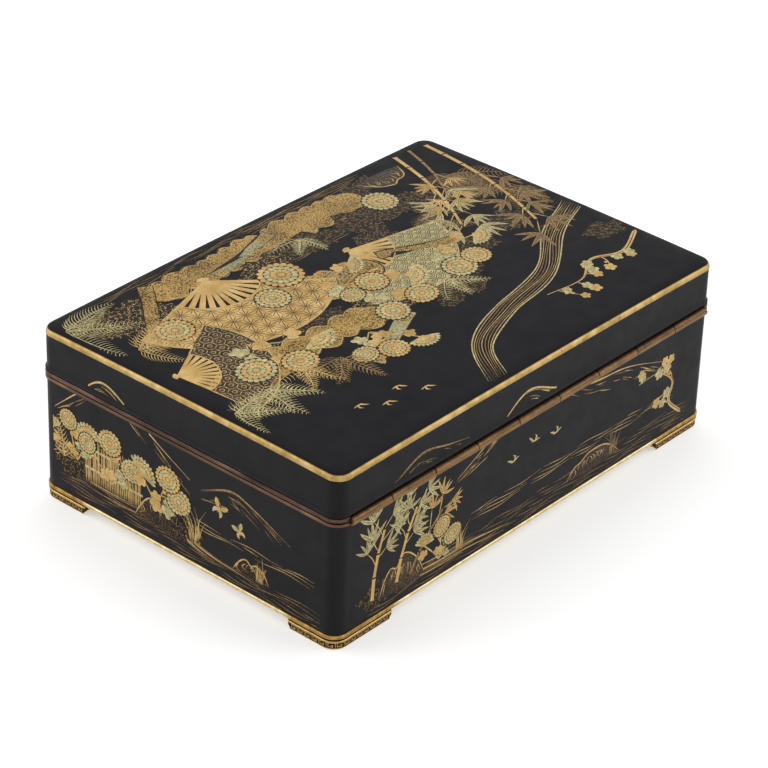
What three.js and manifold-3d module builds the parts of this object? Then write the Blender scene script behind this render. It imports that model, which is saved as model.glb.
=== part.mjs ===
// A rectangular damascened iron box with a hinged, gently domed lid, gilt mouldings along its
// edges and seam, a gilt lining and four low bracket feet. Millimetres, +Z up, standing on Z = 0.
// The hinge runs along the back, +Y, and the front is -Y. The origin is on the surface that the
// box stands on, under the middle of its bounding box.
import * as THREE from 'three';
import { mergeVertices } from 'three/addons/utils/BufferGeometryUtils.js';
import Module from 'manifold-3d';

const wasm = await Module();
wasm.setup();

// Case
const boxLength = 148.4; // X, over the iron walls
const boxWidth = 102.4; // Y, over the iron walls
const cornerRadius = 4; // of the iron walls, seen from above
const leastRadius = 0.4; // of a corner seen from inside
const ironWall = 2.2; // thickness of the iron walls
const seamHeight = 36.9; // middle of the seam between base and lid
const seamGap = 0.34; // open line that shows between base and lid
const fitGap = 0.05; // between pieces that are soldered into each other

// Feet
const footHeight = 3;
const footLegLength = 20.6; // along X, from the wall's corner
const footLegWidth = 15.4; // along Y, from the wall's corner
const footDepth = 4.4; // inwards from the wall's outer plane
const footSoleProud = -0.1; // of the outer edge that it stands on, from the wall's outer plane
const footLowProud = 0.04; // of its face above the eased bottom edge
const footHighProud = 0.1; // of its face below the fillet
const footFilletProud = 0.375;
const footFilletHeight = 0.55; // gilt fillet along the foot's top
const footEdgeHeight = 0.3; // of the eased bottom edge
const footEndChamfer = 1.1; // at the bottom of each leg's end

// Bottom rail, under the walls and floor
const railHeight = 1.1;
const railProud = 0.35;
const railLedge = 2.4; // how far it reaches inwards past the walls, to carry the floor

// Rims along the seam
const rimProud = 0.45;
const baseRimHeight = 0.85;
const lidRimHeight = 1.1;
const rimRound = 0.25;

// Iron bead above the lid's rim, part of the lid's wall
const grooveProud = 0.12; // of the bottom of the groove between rim and bead
const grooveRise = 0.2; // height of the groove
const beadProud = 0.42;
const beadRise = 0.32; // height of the bead's upright face
const flareRise = 0.8; // from the bead up to where the wall is plain
const flareBendProud = 0.126; // halfway up the flare, which is hollow
const flareBendRise = 0.36;

// Lid
const lidCornerHeight = 48.7; // top of the iron wall at a corner, below the edge band
const archLong = 0.6; // how much higher the long edges are at their middle
const archShort = 0.45; // the same for the short edges
const domeRise = 1.4; // of the lid's middle over the top of its shoulder at the corners
const shoulderRadius = 1.77; // of the rounded edge of the lid's top
const edgeBandFace = 0.125; // the band's upright part, before it rounds over
const edgeBandAngle = 50; // degrees of the shoulder's round that the band covers
const edgeBandProud = 0.1;
const lidPlate = 1.2; // thickness of the domed plate

// Lining
const floorPlate = 1.2;
const liningSheet = 0.7;
const lipProud = 2; // how far the lip stands above the seam
const lipClearance = 0.25; // sideways, between the lip and the lid
const lipDepth = 2.2; // how far the lip frame reaches down below the seam
const lipSheet = 0.75;
const lipBevel = 0.3;
const lidLiningClearance = 0.5; // above the lip

// Hinge: drawn tubes soldered alternately into two channelled strips
const knuckleCount = 7; // the outer ones belong to the base
const endTubeLength = 14.29; // of the plain tube at each end
const knuckleGap = 0.24; // open line between neighbouring tubes
const tubeRadius = 1.2;
const tubeChamfer = 0.1;
const tubeSeamWidth = 0.22; // groove left by the rolled seam of the base's tubes
const tubeSeamDepth = 0.3;
const tubeSeamAngle = 33; // degrees above the horizontal
const pinRadius = 0.5;
const pinClearance = 0.05;
const hingeInset = 3.8; // from the wall's corner to the end of the last tube
const stripHeight = 1.3; // of each channelled strip
const channelGap = 0.08; // between the tubes and the strips' channels
const pinInset = 0.3; // of the pin's ends from the ends of the outer tubes

// Smoothness
const cornerSteps = 6;
const longSideSteps = 6;
const shortSideSteps = 4;
const domeSteps = 6;
const bandRoundSteps = 3;
const plateRoundSteps = 3;
const roundSides = 24;

// Sizes that follow
const halfLength = boxLength / 2;
const halfWidth = boxWidth / 2;
const railTop = footHeight + railHeight;
const floorTop = railTop + floorPlate;
const baseTop = seamHeight - seamGap / 2;
const lidBottom = seamHeight + seamGap / 2;
const baseWallTop = baseTop - baseRimHeight;
const lidWallBottom = lidBottom + lidRimHeight;
const lipBottom = seamHeight - lipDepth;
const lipTop = seamHeight + lipProud;
const liningOutside = -ironWall - fitGap;
const liningInside = liningOutside - liningSheet;
const hingeReach = halfLength - hingeInset;
const knuckleSpan = 2 * (hingeReach - endTubeLength);
const knucklePitch = knuckleSpan / knuckleCount;
const axisY = halfWidth + rimProud; // the hinge's axis lies where base and lid roll clear of each other
const caseShiftY = -tubeRadius / 2; // puts the origin under the bounding box's middle

const box = new THREE.Group();
box.position.y = caseShiftY;

const blackIron = { color: 0x2b2a2d, roughness: 0.5, metalness: 0.6 };
const gold = { color: 0xd6ab52, roughness: 0.32, metalness: 1 };
const copperGilt = { color: 0xa9794a, roughness: 0.38, metalness: 1 };
const lining = { color: 0xc9a35b, roughness: 0.3, metalness: 1 };
const steel = { color: 0x8f8f92, roughness: 0.35, metalness: 1 };

function add(name, geometry, finish) {
  const mesh = new THREE.Mesh(geometry, new THREE.MeshStandardMaterial(finish));
  mesh.name = name;
  box.add(mesh);
  return mesh;
}

// The walls' outline, anticlockwise from above, moved outwards by offset (negative is inwards).
// Point number i lies on the same stretch of wall whatever the offset.
function outline(offset) {
  const radius = Math.max(cornerRadius + offset, leastRadius);
  const centreX = halfLength + offset - radius;
  const centreY = halfWidth + offset - radius;
  const signs = [[1, 1], [-1, 1], [-1, -1], [1, -1]];
  const corners = signs.map(([sx, sy], quarter) => {
    const arc = [];
    for (let i = 0; i <= cornerSteps; i += 1) {
      const angle = (quarter + i / cornerSteps) * Math.PI / 2;
      arc.push([sx * centreX + radius * Math.cos(angle), sy * centreY + radius * Math.sin(angle)]);
    }
    return arc;
  });
  const points = [];
  corners.forEach((arc, quarter) => {
    points.push(...arc);
    const from = arc[arc.length - 1];
    const to = corners[(quarter + 1) % corners.length][0];
    const steps = quarter % 2 === 0 ? longSideSteps : shortSideSteps;
    for (let i = 1; i < steps; i += 1) {
      const share = i / steps;
      points.push([from[0] + (to[0] - from[0]) * share, from[1] + (to[1] - from[1]) * share]);
    }
  });
  return points;
}

// How much higher than at a corner the lid's edge is, at each point of the outline
const edgeRise = outline(0).map(([x, y]) => (
  archLong * (1 - (x / halfLength) ** 2) + archShort * (1 - (y / halfWidth) ** 2)
));

// One ring of points round the case. rise is added to the height, point by point.
function ring(offset, z, rise = null) {
  return outline(offset).map(([x, y], i) => [x, y, z + (rise ? rise[i] : 0)]);
}

// A closed body from rings of points, each joined to the next. With two centres the first and
// last rings are closed by fans; without them the last ring is joined to the first.
function loft(rings, centres = null) {
  const count = rings[0].length;
  const positions = rings.flat(2);
  const index = [];
  const spans = centres ? rings.length - 1 : rings.length;
  for (let j = 0; j < spans; j += 1) {
    const low = j * count;
    const high = ((j + 1) % rings.length) * count;
    for (let i = 0; i < count; i += 1) {
      const next = (i + 1) % count;
      index.push(low + i, low + next, high + next, low + i, high + next, high + i);
    }
  }
  if (centres) {
    positions.push(...centres[0], ...centres[1]);
    const first = rings.length * count;
    const last = (rings.length - 1) * count;
    for (let i = 0; i < count; i += 1) {
      const next = (i + 1) % count;
      index.push(first, next, i, last + i, last + next, first + 1);
    }
  }
  const geometry = new THREE.BufferGeometry();
  geometry.setAttribute('position', new THREE.Float32BufferAttribute(positions, 3));
  geometry.setIndex(index);
  return geometry;
}

// A moulding round the case: profile is a list of [offset, height], anticlockwise.
function moulding(profile, rise = null) {
  return loft(profile.map(([offset, z]) => ring(offset, z, rise)));
}

// A flat plate that fills the outline at offset, between two heights.
function plate(offset, bottom, top) {
  return loft([ring(offset, bottom), ring(offset, top)], [[0, 0, bottom], [0, 0, top]]);
}

// Rings of a domed sheet inside the outline at offset, from its edge towards its middle.
// edgeHeight is the height of its edge at a corner of the lid.
function domeRings(offset, edgeHeight) {
  const edge = ring(offset, edgeHeight, edgeRise);
  const middle = edgeHeight + domeRise;
  const rings = [];
  for (let k = 0; k < domeSteps; k += 1) {
    const share = 1 - k / domeSteps;
    rings.push(edge.map(([x, y, z]) => [
      x * share, y * share, middle - (middle - z) * share ** 2,
    ]));
  }
  return rings;
}

function block(x0, x1, y0, y1, z0, z1) {
  const geometry = new THREE.BoxGeometry(x1 - x0, y1 - y0, z1 - z0);
  return geometry.translate((x0 + x1) / 2, (y0 + y1) / 2, (z0 + z1) / 2);
}

function toSolid(geometry) {
  const bare = geometry.clone();
  bare.deleteAttribute('normal');
  bare.deleteAttribute('uv');
  const merged = mergeVertices(bare, 1e-5);
  return new wasm.Manifold(new wasm.Mesh({
    numProp: 3,
    vertProperties: new Float32Array(merged.attributes.position.array),
    triVerts: new Uint32Array(merged.index.array),
  }));
}

function toGeometry(solid) {
  const mesh = solid.getMesh();
  const geometry = new THREE.BufferGeometry();
  geometry.setAttribute('position', new THREE.BufferAttribute(mesh.vertProperties, 3));
  geometry.setIndex(new THREE.BufferAttribute(mesh.triVerts, 1));
  return geometry;
}

function cut(geometry, ...cutters) {
  const whole = cutters.reduce((solid, cutter) => solid.subtract(toSolid(cutter)), toSolid(geometry));
  return toGeometry(whole);
}

// A round bar along X, centred on the hinge's axis.
function hingeBar(radius, x0, x1) {
  const geometry = new THREE.CylinderGeometry(radius, radius, x1 - x0, roundSides);
  return geometry.rotateZ(Math.PI / 2).translate((x0 + x1) / 2, axisY, seamHeight);
}

// The back of the walls and rims is cut away between two heights, to seat a hinge strip.
function stripSeat(z0, z1) {
  const reach = hingeReach + fitGap;
  return block(-reach, reach, halfWidth - ironWall - fitGap, halfWidth + ironWall, z0, z1);
}

const baseStrip = { bottom: baseTop - stripHeight, top: baseTop };
const lidStrip = { bottom: lidBottom, top: lidBottom + stripHeight };

// Base
add('base_bottom_rail', moulding([
  [-ironWall - railLedge, footHeight],
  [railProud - rimRound, footHeight],
  [railProud, footHeight + rimRound],
  [railProud, railTop - rimRound],
  [railProud - rimRound, railTop],
  [-ironWall - railLedge, railTop],
]), gold);

add('base_floor', plate(liningOutside, railTop, floorTop), blackIron);

add('base_wall', cut(moulding([
  [-ironWall, railTop],
  [0, railTop],
  [0, baseWallTop],
  [-ironWall, baseWallTop],
]), stripSeat(baseStrip.bottom - fitGap, baseTop)), blackIron);

add('base_rim', cut(moulding([
  [-ironWall, baseWallTop],
  [rimProud - rimRound, baseWallTop],
  [rimProud, baseWallTop + rimRound],
  [rimProud, baseTop],
  [-ironWall, baseTop],
]), stripSeat(baseStrip.bottom - fitGap, lidBottom)), copperGilt);

// The lining is a pan that lies on the floor and against the walls.
add('base_lining', loft([
  ring(liningOutside, floorTop),
  ring(liningOutside, lipBottom - fitGap),
  ring(liningInside, lipBottom - fitGap),
  ring(liningInside, floorTop + liningSheet),
], [[0, 0, floorTop], [0, 0, floorTop + liningSheet]]), lining);

// The lip is a frame soldered inside the rim. It guides the lid as it closes.
const lipInside = liningOutside - lipSheet;
const lipOutside = -ironWall - lipClearance;
add('base_lip', moulding([
  [lipInside, lipBottom],
  [liningOutside, lipBottom],
  [liningOutside, baseTop],
  [lipOutside, lidBottom],
  [lipOutside, lipTop - lipBevel],
  [lipOutside - lipBevel, lipTop],
  [lipInside, lipTop],
]), lining);

// Feet: each is one corner of a moulding, with its two ends bevelled at the bottom.
function footEnds(length, depth, sign) {
  return new THREE.Shape([
    [0, footHeight],
    [0, footEndChamfer],
    [footEndChamfer, 0],
    [length + depth, 0],
    [length + depth, footHeight],
  ].map(([u, z]) => new THREE.Vector2(sign * u, z)));
}

function footBlock(sx, sy) {
  const spare = cornerRadius;
  const alongX = new THREE.ExtrudeGeometry(
    footEnds(footLegLength, spare, sx),
    { depth: boxWidth, bevelEnabled: false },
  );
  alongX.rotateX(Math.PI / 2);
  alongX.translate(sx * (halfLength - footLegLength), sy > 0 ? boxWidth : 0, 0);
  const alongY = new THREE.ExtrudeGeometry(
    footEnds(footLegWidth, spare, sy),
    { depth: boxLength, bevelEnabled: false },
  );
  alongY.rotateX(Math.PI / 2);
  alongY.rotateZ(Math.PI / 2);
  alongY.translate(sx > 0 ? 0 : -boxLength, sy * (halfWidth - footLegWidth), 0);
  return toSolid(alongX).intersect(toSolid(alongY));
}

const footRing = toSolid(moulding([
  [-footDepth, 0],
  [footSoleProud, 0],
  [footLowProud, footEdgeHeight],
  [footHighProud, footHeight - footFilletHeight],
  [footFilletProud, footHeight - footFilletHeight],
  [footFilletProud, footHeight],
  [-footDepth, footHeight],
]));

[['left', -1], ['right', 1]].forEach(([side, sx]) => {
  [['front', -1], ['back', 1]].forEach(([face, sy]) => {
    add(`foot_${face}_${side}`, toGeometry(footRing.intersect(footBlock(sx, sy))), gold);
  });
});

// Lid
add('lid_rim', cut(moulding([
  [-ironWall, lidBottom],
  [rimProud, lidBottom],
  [rimProud, lidWallBottom - rimRound],
  [rimProud - rimRound, lidWallBottom],
  [-ironWall, lidWallBottom],
]), stripSeat(baseTop, lidStrip.top + fitGap)), copperGilt);

// The shoulder is a quarter round. The edge band covers its steep part, and the domed plate the rest.
const bandBottom = lidCornerHeight + fitGap;
const shoulderBottom = bandBottom + edgeBandFace;
const plateTop = shoulderBottom + shoulderRadius;
const plateUnder = plateTop - lidPlate;
function shoulder(angle) {
  return [
    edgeBandProud - shoulderRadius * (1 - Math.cos(angle)),
    shoulderBottom + shoulderRadius * Math.sin(angle),
  ];
}

const bandAngle = THREE.MathUtils.degToRad(edgeBandAngle);
const [bandInside] = shoulder(bandAngle);
const plateOffset = bandInside - fitGap;
const plateAngle = Math.acos(1 - (edgeBandProud - plateOffset) / shoulderRadius);
const beadLow = lidWallBottom + grooveRise + beadProud - grooveProud;
const beadHigh = beadLow + beadRise;

// The lid's wall has a step at its top, where the domed plate lies.
const flatBelow = [
  [-ironWall, lidWallBottom],
  [grooveProud, lidWallBottom],
  [grooveProud, lidWallBottom + grooveRise],
  [beadProud, beadLow],
  [beadProud, beadHigh],
  [flareBendProud, beadHigh + flareBendRise],
  [0, beadHigh + flareRise],
];
const archedAbove = [
  [0, lidCornerHeight],
  [plateOffset, lidCornerHeight],
  [plateOffset, plateUnder - fitGap],
  [-ironWall, plateUnder - fitGap],
];
add('lid_wall', cut(loft([
  ...flatBelow.map(([offset, z]) => ring(offset, z)),
  ...archedAbove.map(([offset, z]) => ring(offset, z, edgeRise)),
]), stripSeat(baseTop, lidStrip.top + fitGap)), blackIron);

add('lid_edge_band', moulding([
  [bandInside, bandBottom],
  [edgeBandProud, bandBottom],
  ...Array.from({ length: bandRoundSteps + 1 }, (_, step) => shoulder(bandAngle * (step / bandRoundSteps))),
], edgeRise), gold);

const plateRound = Array.from({ length: plateRoundSteps }, (_, step) => (
  shoulder(plateAngle + (Math.PI / 2 - plateAngle) * (step / plateRoundSteps))
));
add('lid_top', loft(
  [
    ...domeRings(plateOffset, plateUnder).reverse(),
    ...plateRound.map(([offset, z]) => ring(offset, z, edgeRise)),
    ...domeRings(edgeBandProud - shoulderRadius, plateTop),
  ],
  [[0, 0, plateUnder + domeRise], [0, 0, plateTop + domeRise]],
), blackIron);

// The lid's lining is a pan too, upside down under the domed plate.
const ceilingTop = plateUnder - fitGap;
const ceilingUnder = ceilingTop - liningSheet;
const lidLiningBottom = lipTop + lidLiningClearance;
add('lid_lining', loft(
  [
    ...domeRings(liningInside, ceilingUnder).reverse(),
    ring(liningInside, lidLiningBottom),
    ring(liningOutside, lidLiningBottom),
    ...domeRings(liningOutside, ceilingTop),
  ],
  [[0, 0, ceilingUnder + domeRise], [0, 0, ceilingTop + domeRise]],
), lining);

// Hinge
const breaks = Array.from({ length: knuckleCount + 1 }, (_, k) => k * knucklePitch - knuckleSpan / 2);
const tubes = [
  { name: 'hinge_end_tube_left', owner: 'base', from: -hingeReach, to: breaks[0] },
  { name: 'hinge_end_tube_right', owner: 'base', from: breaks[knuckleCount], to: hingeReach },
];
const made = { base: 0, lid: 0 };
for (let k = 0; k < knuckleCount; k += 1) {
  const owner = k % 2 === 0 ? 'base' : 'lid';
  made[owner] += 1;
  tubes.push({ name: `hinge_${owner}_knuckle_${made[owner]}`, owner, from: breaks[k], to: breaks[k + 1] });
}

function tube(from, to) {
  const bore = pinRadius + pinClearance;
  const length = to - from - knuckleGap;
  const profile = [
    [bore, 0],
    [tubeRadius - tubeChamfer, 0],
    [tubeRadius, tubeChamfer],
    [tubeRadius, length - tubeChamfer],
    [tubeRadius - tubeChamfer, length],
    [bore, length],
    [bore, 0],
  ].map(([radius, along]) => new THREE.Vector2(radius, along));
  const geometry = new THREE.LatheGeometry(profile, roundSides);
  geometry.translate(0, -length / 2, 0);
  geometry.rotateZ(Math.PI / 2);
  return geometry.translate((from + to) / 2, axisY, seamHeight);
}

// The rolled seam of a tube that belongs to the base shows as a groove along it.
function tubeSeam(from, to) {
  const reach = tubeRadius - tubeSeamDepth;
  const cutter = new THREE.BoxGeometry(to - from, tubeRadius, tubeSeamWidth);
  cutter.translate((from + to) / 2, reach + tubeRadius / 2, 0);
  cutter.rotateX(THREE.MathUtils.degToRad(tubeSeamAngle));
  return cutter.translate(0, axisY, seamHeight);
}

tubes.forEach(({ name, owner, from, to }) => {
  const seams = owner === 'base' ? [tubeSeam(from, to)] : [];
  add(name, cut(tube(from, to), ...seams), gold);
});

// A strip along the back, with a channel along it in which the tubes lie.
function channelledStrip({ bottom, top }) {
  return cut(
    block(-hingeReach, hingeReach, halfWidth - ironWall, halfWidth, bottom, top),
    hingeBar(tubeRadius + channelGap, -boxLength, boxLength),
  );
}

add('hinge_base_strip', channelledStrip(baseStrip), copperGilt);
add('hinge_lid_strip', channelledStrip(lidStrip), copperGilt);
add('hinge_pin', toGeometry(toSolid(
  hingeBar(pinRadius, -hingeReach + knuckleGap / 2 + pinInset, hingeReach - knuckleGap / 2 - pinInset),
)), steel);

export default box;
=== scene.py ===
import math
import random

import bmesh
import bpy
import numpy as np
from mathutils import Matrix, Vector
from mathutils.geometry import delaunay_2d_cdt


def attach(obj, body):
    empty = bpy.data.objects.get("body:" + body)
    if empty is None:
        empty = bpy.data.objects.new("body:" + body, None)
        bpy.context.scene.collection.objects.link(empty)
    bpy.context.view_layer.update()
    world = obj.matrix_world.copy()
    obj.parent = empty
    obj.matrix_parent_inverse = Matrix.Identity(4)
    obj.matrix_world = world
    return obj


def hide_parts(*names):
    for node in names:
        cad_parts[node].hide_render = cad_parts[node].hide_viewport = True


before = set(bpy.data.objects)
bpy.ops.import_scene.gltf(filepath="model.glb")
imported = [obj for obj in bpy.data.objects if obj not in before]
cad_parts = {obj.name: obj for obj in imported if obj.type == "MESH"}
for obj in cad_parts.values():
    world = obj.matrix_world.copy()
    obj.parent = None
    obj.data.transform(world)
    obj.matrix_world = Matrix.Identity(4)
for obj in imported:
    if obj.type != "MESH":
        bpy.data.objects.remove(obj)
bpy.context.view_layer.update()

# A rectangular damascened iron box. Sizes are in millimetres and become metres in new_mesh().
# x is to the right, y to the back where the hinge is, and z up. The drawing of the case is
# centred on its own middle, and CASE_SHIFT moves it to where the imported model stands.

MM = 0.001
CASE_SHIFT = -0.6

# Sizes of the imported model
HALF_LENGTH = 74.2
HALF_WIDTH = 51.2
CORNER_RADIUS = 4
LEAST_RADIUS = 0.4  # of a corner seen from inside
IRON_WALL = 2.2
SEAM_HEIGHT = 36.9
FIT_GAP = 0.05
RAIL_BOTTOM = 3.0
RAIL_TOP = 4.1
FLOOR_TOP = 5.3
BASE_WALL_TOP = 35.88
BASE_TOP = 36.73
LID_BOTTOM = 37.07
LID_WALL_BOTTOM = 38.17
LIP_TOP = 38.9
LIP_BOTTOM = 34.7
LINING_OUTSIDE = -2.25
LINING_INSIDE = -2.95
LINING_THICKNESS = 0.7
LID_CORNER = 48.7
BAND_PROUD = 0.1
BAND_FACE = 0.125
BAND_ANGLE = 50  # degrees of the lid's rounded shoulder that the edge band covers
SHOULDER_RADIUS = 1.77
PLATE_THICKNESS = 1.2
ARCH_LONG = 0.6
ARCH_SHORT = 0.45
DOME_RISE = 1.4
STRIP_HEIGHT = 1.3
HINGE_REACH = 70.4
HINGE_AXIS_Y = 51.65
TUBE_RADIUS = 1.2
KNUCKLE_COUNT = 7
KNUCKLE_PITCH = 16.03
KNUCKLE_GAP = 0.24
FOOT_LENGTH = 20.6
FOOT_WIDTH = 15.4

# Inlay
DOME_DROP = 0.12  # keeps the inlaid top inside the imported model's box
SINK = 0.05  # how far an inlay reaches into the iron
LOWEST_LIFT = 0.014  # how far the first layer stands above the iron
CELL = 1.2  # of the grid in which a drawing keeps how high its layers reach
LAYER = 0.0013  # how far each further layer stands above the one before

# Fineness of the meshes
CORNER_STEPS = 14
LONG_STEPS = 28
SHORT_STEPS = 20
DOME_STEPS = 22
SHARP_ANGLE = 32  # edges bent more than this show as edges


# Materials

def new_material(name, metallic):
    material = bpy.data.materials.new(name)
    material.use_nodes = True
    tree = material.node_tree
    shader = tree.nodes["Principled BSDF"]
    shader.inputs["Metallic"].default_value = metallic
    return material, tree, shader


def add_node(tree, kind, **values):
    node = tree.nodes.new(kind)
    for name, value in values.items():
        if name in node.inputs:
            node.inputs[name].default_value = value
        else:
            setattr(node, name, value)
    return node


def object_point(tree):
    """The point on the surface, in metres, and the same at every pose of the lid."""
    return add_node(tree, "ShaderNodeTexCoord").outputs["Object"]


def noise(tree, size, detail=3.0, roughness=0.55, stretch=(1, 1, 1)):
    """Noise whose features are about size millimetres across."""
    mapping = add_node(tree, "ShaderNodeMapping", Scale=stretch)
    tree.links.new(object_point(tree), mapping.inputs["Vector"])
    texture = add_node(tree, "ShaderNodeTexNoise", Scale=1 / (size * MM), Detail=detail,
                       Roughness=roughness)
    tree.links.new(mapping.outputs["Vector"], texture.inputs["Vector"])
    return texture.outputs["Fac"]


def cells(tree, size):
    """Distance to the middle of the nearest of many scattered cells."""
    texture = add_node(tree, "ShaderNodeTexVoronoi", Scale=1 / (size * MM))
    tree.links.new(object_point(tree), texture.inputs["Vector"])
    return texture.outputs["Distance"]


def ramp(tree, source, *stops):
    """Maps a value to colours. stops are (position, colour), with colour as hex or a grey."""
    node = add_node(tree, "ShaderNodeValToRGB")
    elements = node.color_ramp.elements
    while len(elements) < len(stops):
        elements.new(0.5)
    for element, (position, value) in zip(elements, stops):
        element.position = position
        element.color = colour(value) if isinstance(value, str) else (value, value, value, 1)
    tree.links.new(source, node.inputs["Fac"])
    return node.outputs["Color"]


def mix(tree, factor, first, second, blend="MIX"):
    node = add_node(tree, "ShaderNodeMix", data_type="RGBA", blend_type=blend)
    for socket, value in ((node.inputs[0], factor), (node.inputs[6], first), (node.inputs[7], second)):
        if isinstance(value, str):
            socket.default_value = colour(value)
        elif isinstance(value, (int, float)):
            socket.default_value = value
        else:
            tree.links.new(value, socket)
    return node.outputs[2]


def grained(tree, tone):
    """The colour, a little darker in fine grains."""
    fine = ramp(tree, noise(tree, 0.28, 2), (0.3, 0.8), (0.6, 1.0))
    return mix(tree, 1.0, tone, fine, "MULTIPLY")


def bump(tree, shader, height, depth, strength):
    node = add_node(tree, "ShaderNodeBump", Distance=depth * MM, Strength=strength)
    tree.links.new(height, node.inputs["Height"])
    tree.links.new(node.outputs["Normal"], shader.inputs["Normal"])


def colour(text):
    """A colour written as rrggbb, in the display's own scale."""
    parts = [int(text[i:i + 2], 16) / 255 for i in (0, 2, 4)]
    linear = [p / 12.92 if p <= 0.04045 else ((p + 0.055) / 1.055) ** 2.4 for p in parts]
    return (*linear, 1)


def iron_material(name, dark, light, roughness, specular):
    material, tree, shader = new_material(name, 0)
    cloud = ramp(tree, noise(tree, 26, 4), (0.3, dark), (0.72, light))
    grain = ramp(tree, noise(tree, 0.35, 2), (0.35, 0.86), (0.7, 1.0))
    base = mix(tree, 1.0, cloud, grain, "MULTIPLY")
    specks = ramp(tree, cells(tree, 3.1), (0.035, 1.0), (0.06, 0.0))
    rare = ramp(tree, noise(tree, 9, 1), (0.6, 0.0), (0.68, 0.5))
    base = mix(tree, mix(tree, 1.0, specks, rare, "MULTIPLY"), base, "7c7370")
    tree.links.new(base, shader.inputs["Base Color"])
    satin = ramp(tree, noise(tree, 5, 5), (0.3, roughness - 0.07), (0.7, roughness + 0.08))
    tree.links.new(satin, shader.inputs["Roughness"])
    shader.inputs["Specular IOR Level"].default_value = specular
    bump(tree, shader, noise(tree, 0.22, 3), 0.012, 0.5)
    return material


def metal_material(name, deep, plain, bright, roughness=0.34, size=1.6, stretch=(1, 1, 1),
                   grain=0.012):
    """Gold and its kin: a worn metal whose tone drifts between three colours."""
    material, tree, shader = new_material(name, 1)
    drift = ramp(tree, noise(tree, size, 4, 0.6, stretch), (0.3, deep), (0.5, plain), (0.72, bright))
    tree.links.new(grained(tree, drift), shader.inputs["Base Color"])
    worn = ramp(tree, noise(tree, size * 2, 3), (0.3, roughness - 0.08), (0.75, roughness + 0.1))
    tree.links.new(worn, shader.inputs["Roughness"])
    bump(tree, shader, noise(tree, 0.25, 2), grain, 0.6)
    return material


def stippled_material(name, deep, plain, bright, size, cover):
    """Sheet metal beaten into a file-cut ground, so that it is broken into fine specks."""
    material, tree, shader = new_material(name, 1)
    speck = cells(tree, size)
    patch = noise(tree, 7, 3)
    tone = mix(tree, 0.35, speck, patch)
    base = ramp(tree, tone, (0.2, bright), (cover, plain), (cover + 0.16, deep))
    wide = ramp(tree, noise(tree, 11, 2), (0.34, 0.82), (0.66, 1.0))
    tree.links.new(mix(tree, 1.0, base, wide, "MULTIPLY"), shader.inputs["Base Color"])
    shader.inputs["Roughness"].default_value = 0.36
    bump(tree, shader, speck, 0.03, 0.7)
    return material


def attribute(tree, name):
    """A value stored on the points of a mesh."""
    return add_node(tree, "ShaderNodeAttribute", attribute_name=name).outputs["Fac"]


def band_material(name):
    """The gilt edge band, with a fine dark line and a few chips where its sheet ends in the iron."""
    material, tree, shader = new_material(name, 1)
    drift = ramp(tree, noise(tree, 3.2, 4), (0.3, "917746"), (0.52, "ae935c"), (0.75, "c6ad80"))
    border = attribute(tree, "border")
    edge = ramp(tree, border, (0.8, 0.0), (0.97, 0.85))
    speck = ramp(tree, cells(tree, 1.3), (0.12, 1.0), (0.17, 0.0))
    patch = ramp(tree, noise(tree, 7, 2), (0.47, 0.0), (0.56, 1.0))
    near_edge = ramp(tree, border, (0.1, 0.0), (0.55, 0.9))
    chips = mix(tree, 1.0, mix(tree, 1.0, speck, patch, "MULTIPLY"), near_edge, "MULTIPLY")
    worn = mix(tree, 1.0, chips, edge, "LIGHTEN")
    tree.links.new(mix(tree, worn, drift, "33271b"), shader.inputs["Base Color"])
    shine = ramp(tree, worn, (0.0, 0.56), (1.0, 0.65))
    tree.links.new(shine, shader.inputs["Roughness"])
    bump(tree, shader, mix(tree, 0.5, noise(tree, 0.5, 3), noise(tree, 3, 2)), 0.03, 0.6)
    return material


def shaded_material(name, bright, dark, size, roughness=0.4, stretch=(1, 1, 1)):
    """A gilt surface that turns dark where the mesh's "shade" is 1: painted shade on the rail and the hinge's
    tubes, whose light tones are a painted reflection of the floor, and the dark ground and groove of the
    feet. Each end is two tones.
    """
    material, tree, shader = new_material(name, 1)
    shape = noise(tree, size, 4, 0.6, stretch)
    light = ramp(tree, shape, (0.32, bright[0]), (0.68, bright[1]))
    shade = ramp(tree, shape, (0.32, dark[0]), (0.68, dark[1]))
    ragged = mix(tree, 0.3, attribute(tree, "shade"), noise(tree, size * 0.6, 3))
    tone = mix(tree, ramp(tree, ragged, (0.3, 0.0), (0.72, 1.0)), light, shade)
    tree.links.new(grained(tree, tone), shader.inputs["Base Color"])
    shine = ramp(tree, ragged, (0.3, roughness - 0.04), (0.8, roughness + 0.14))
    tree.links.new(shine, shader.inputs["Roughness"])
    bump(tree, shader, noise(tree, 0.25, 2), 0.015, 0.6)
    return material


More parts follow.
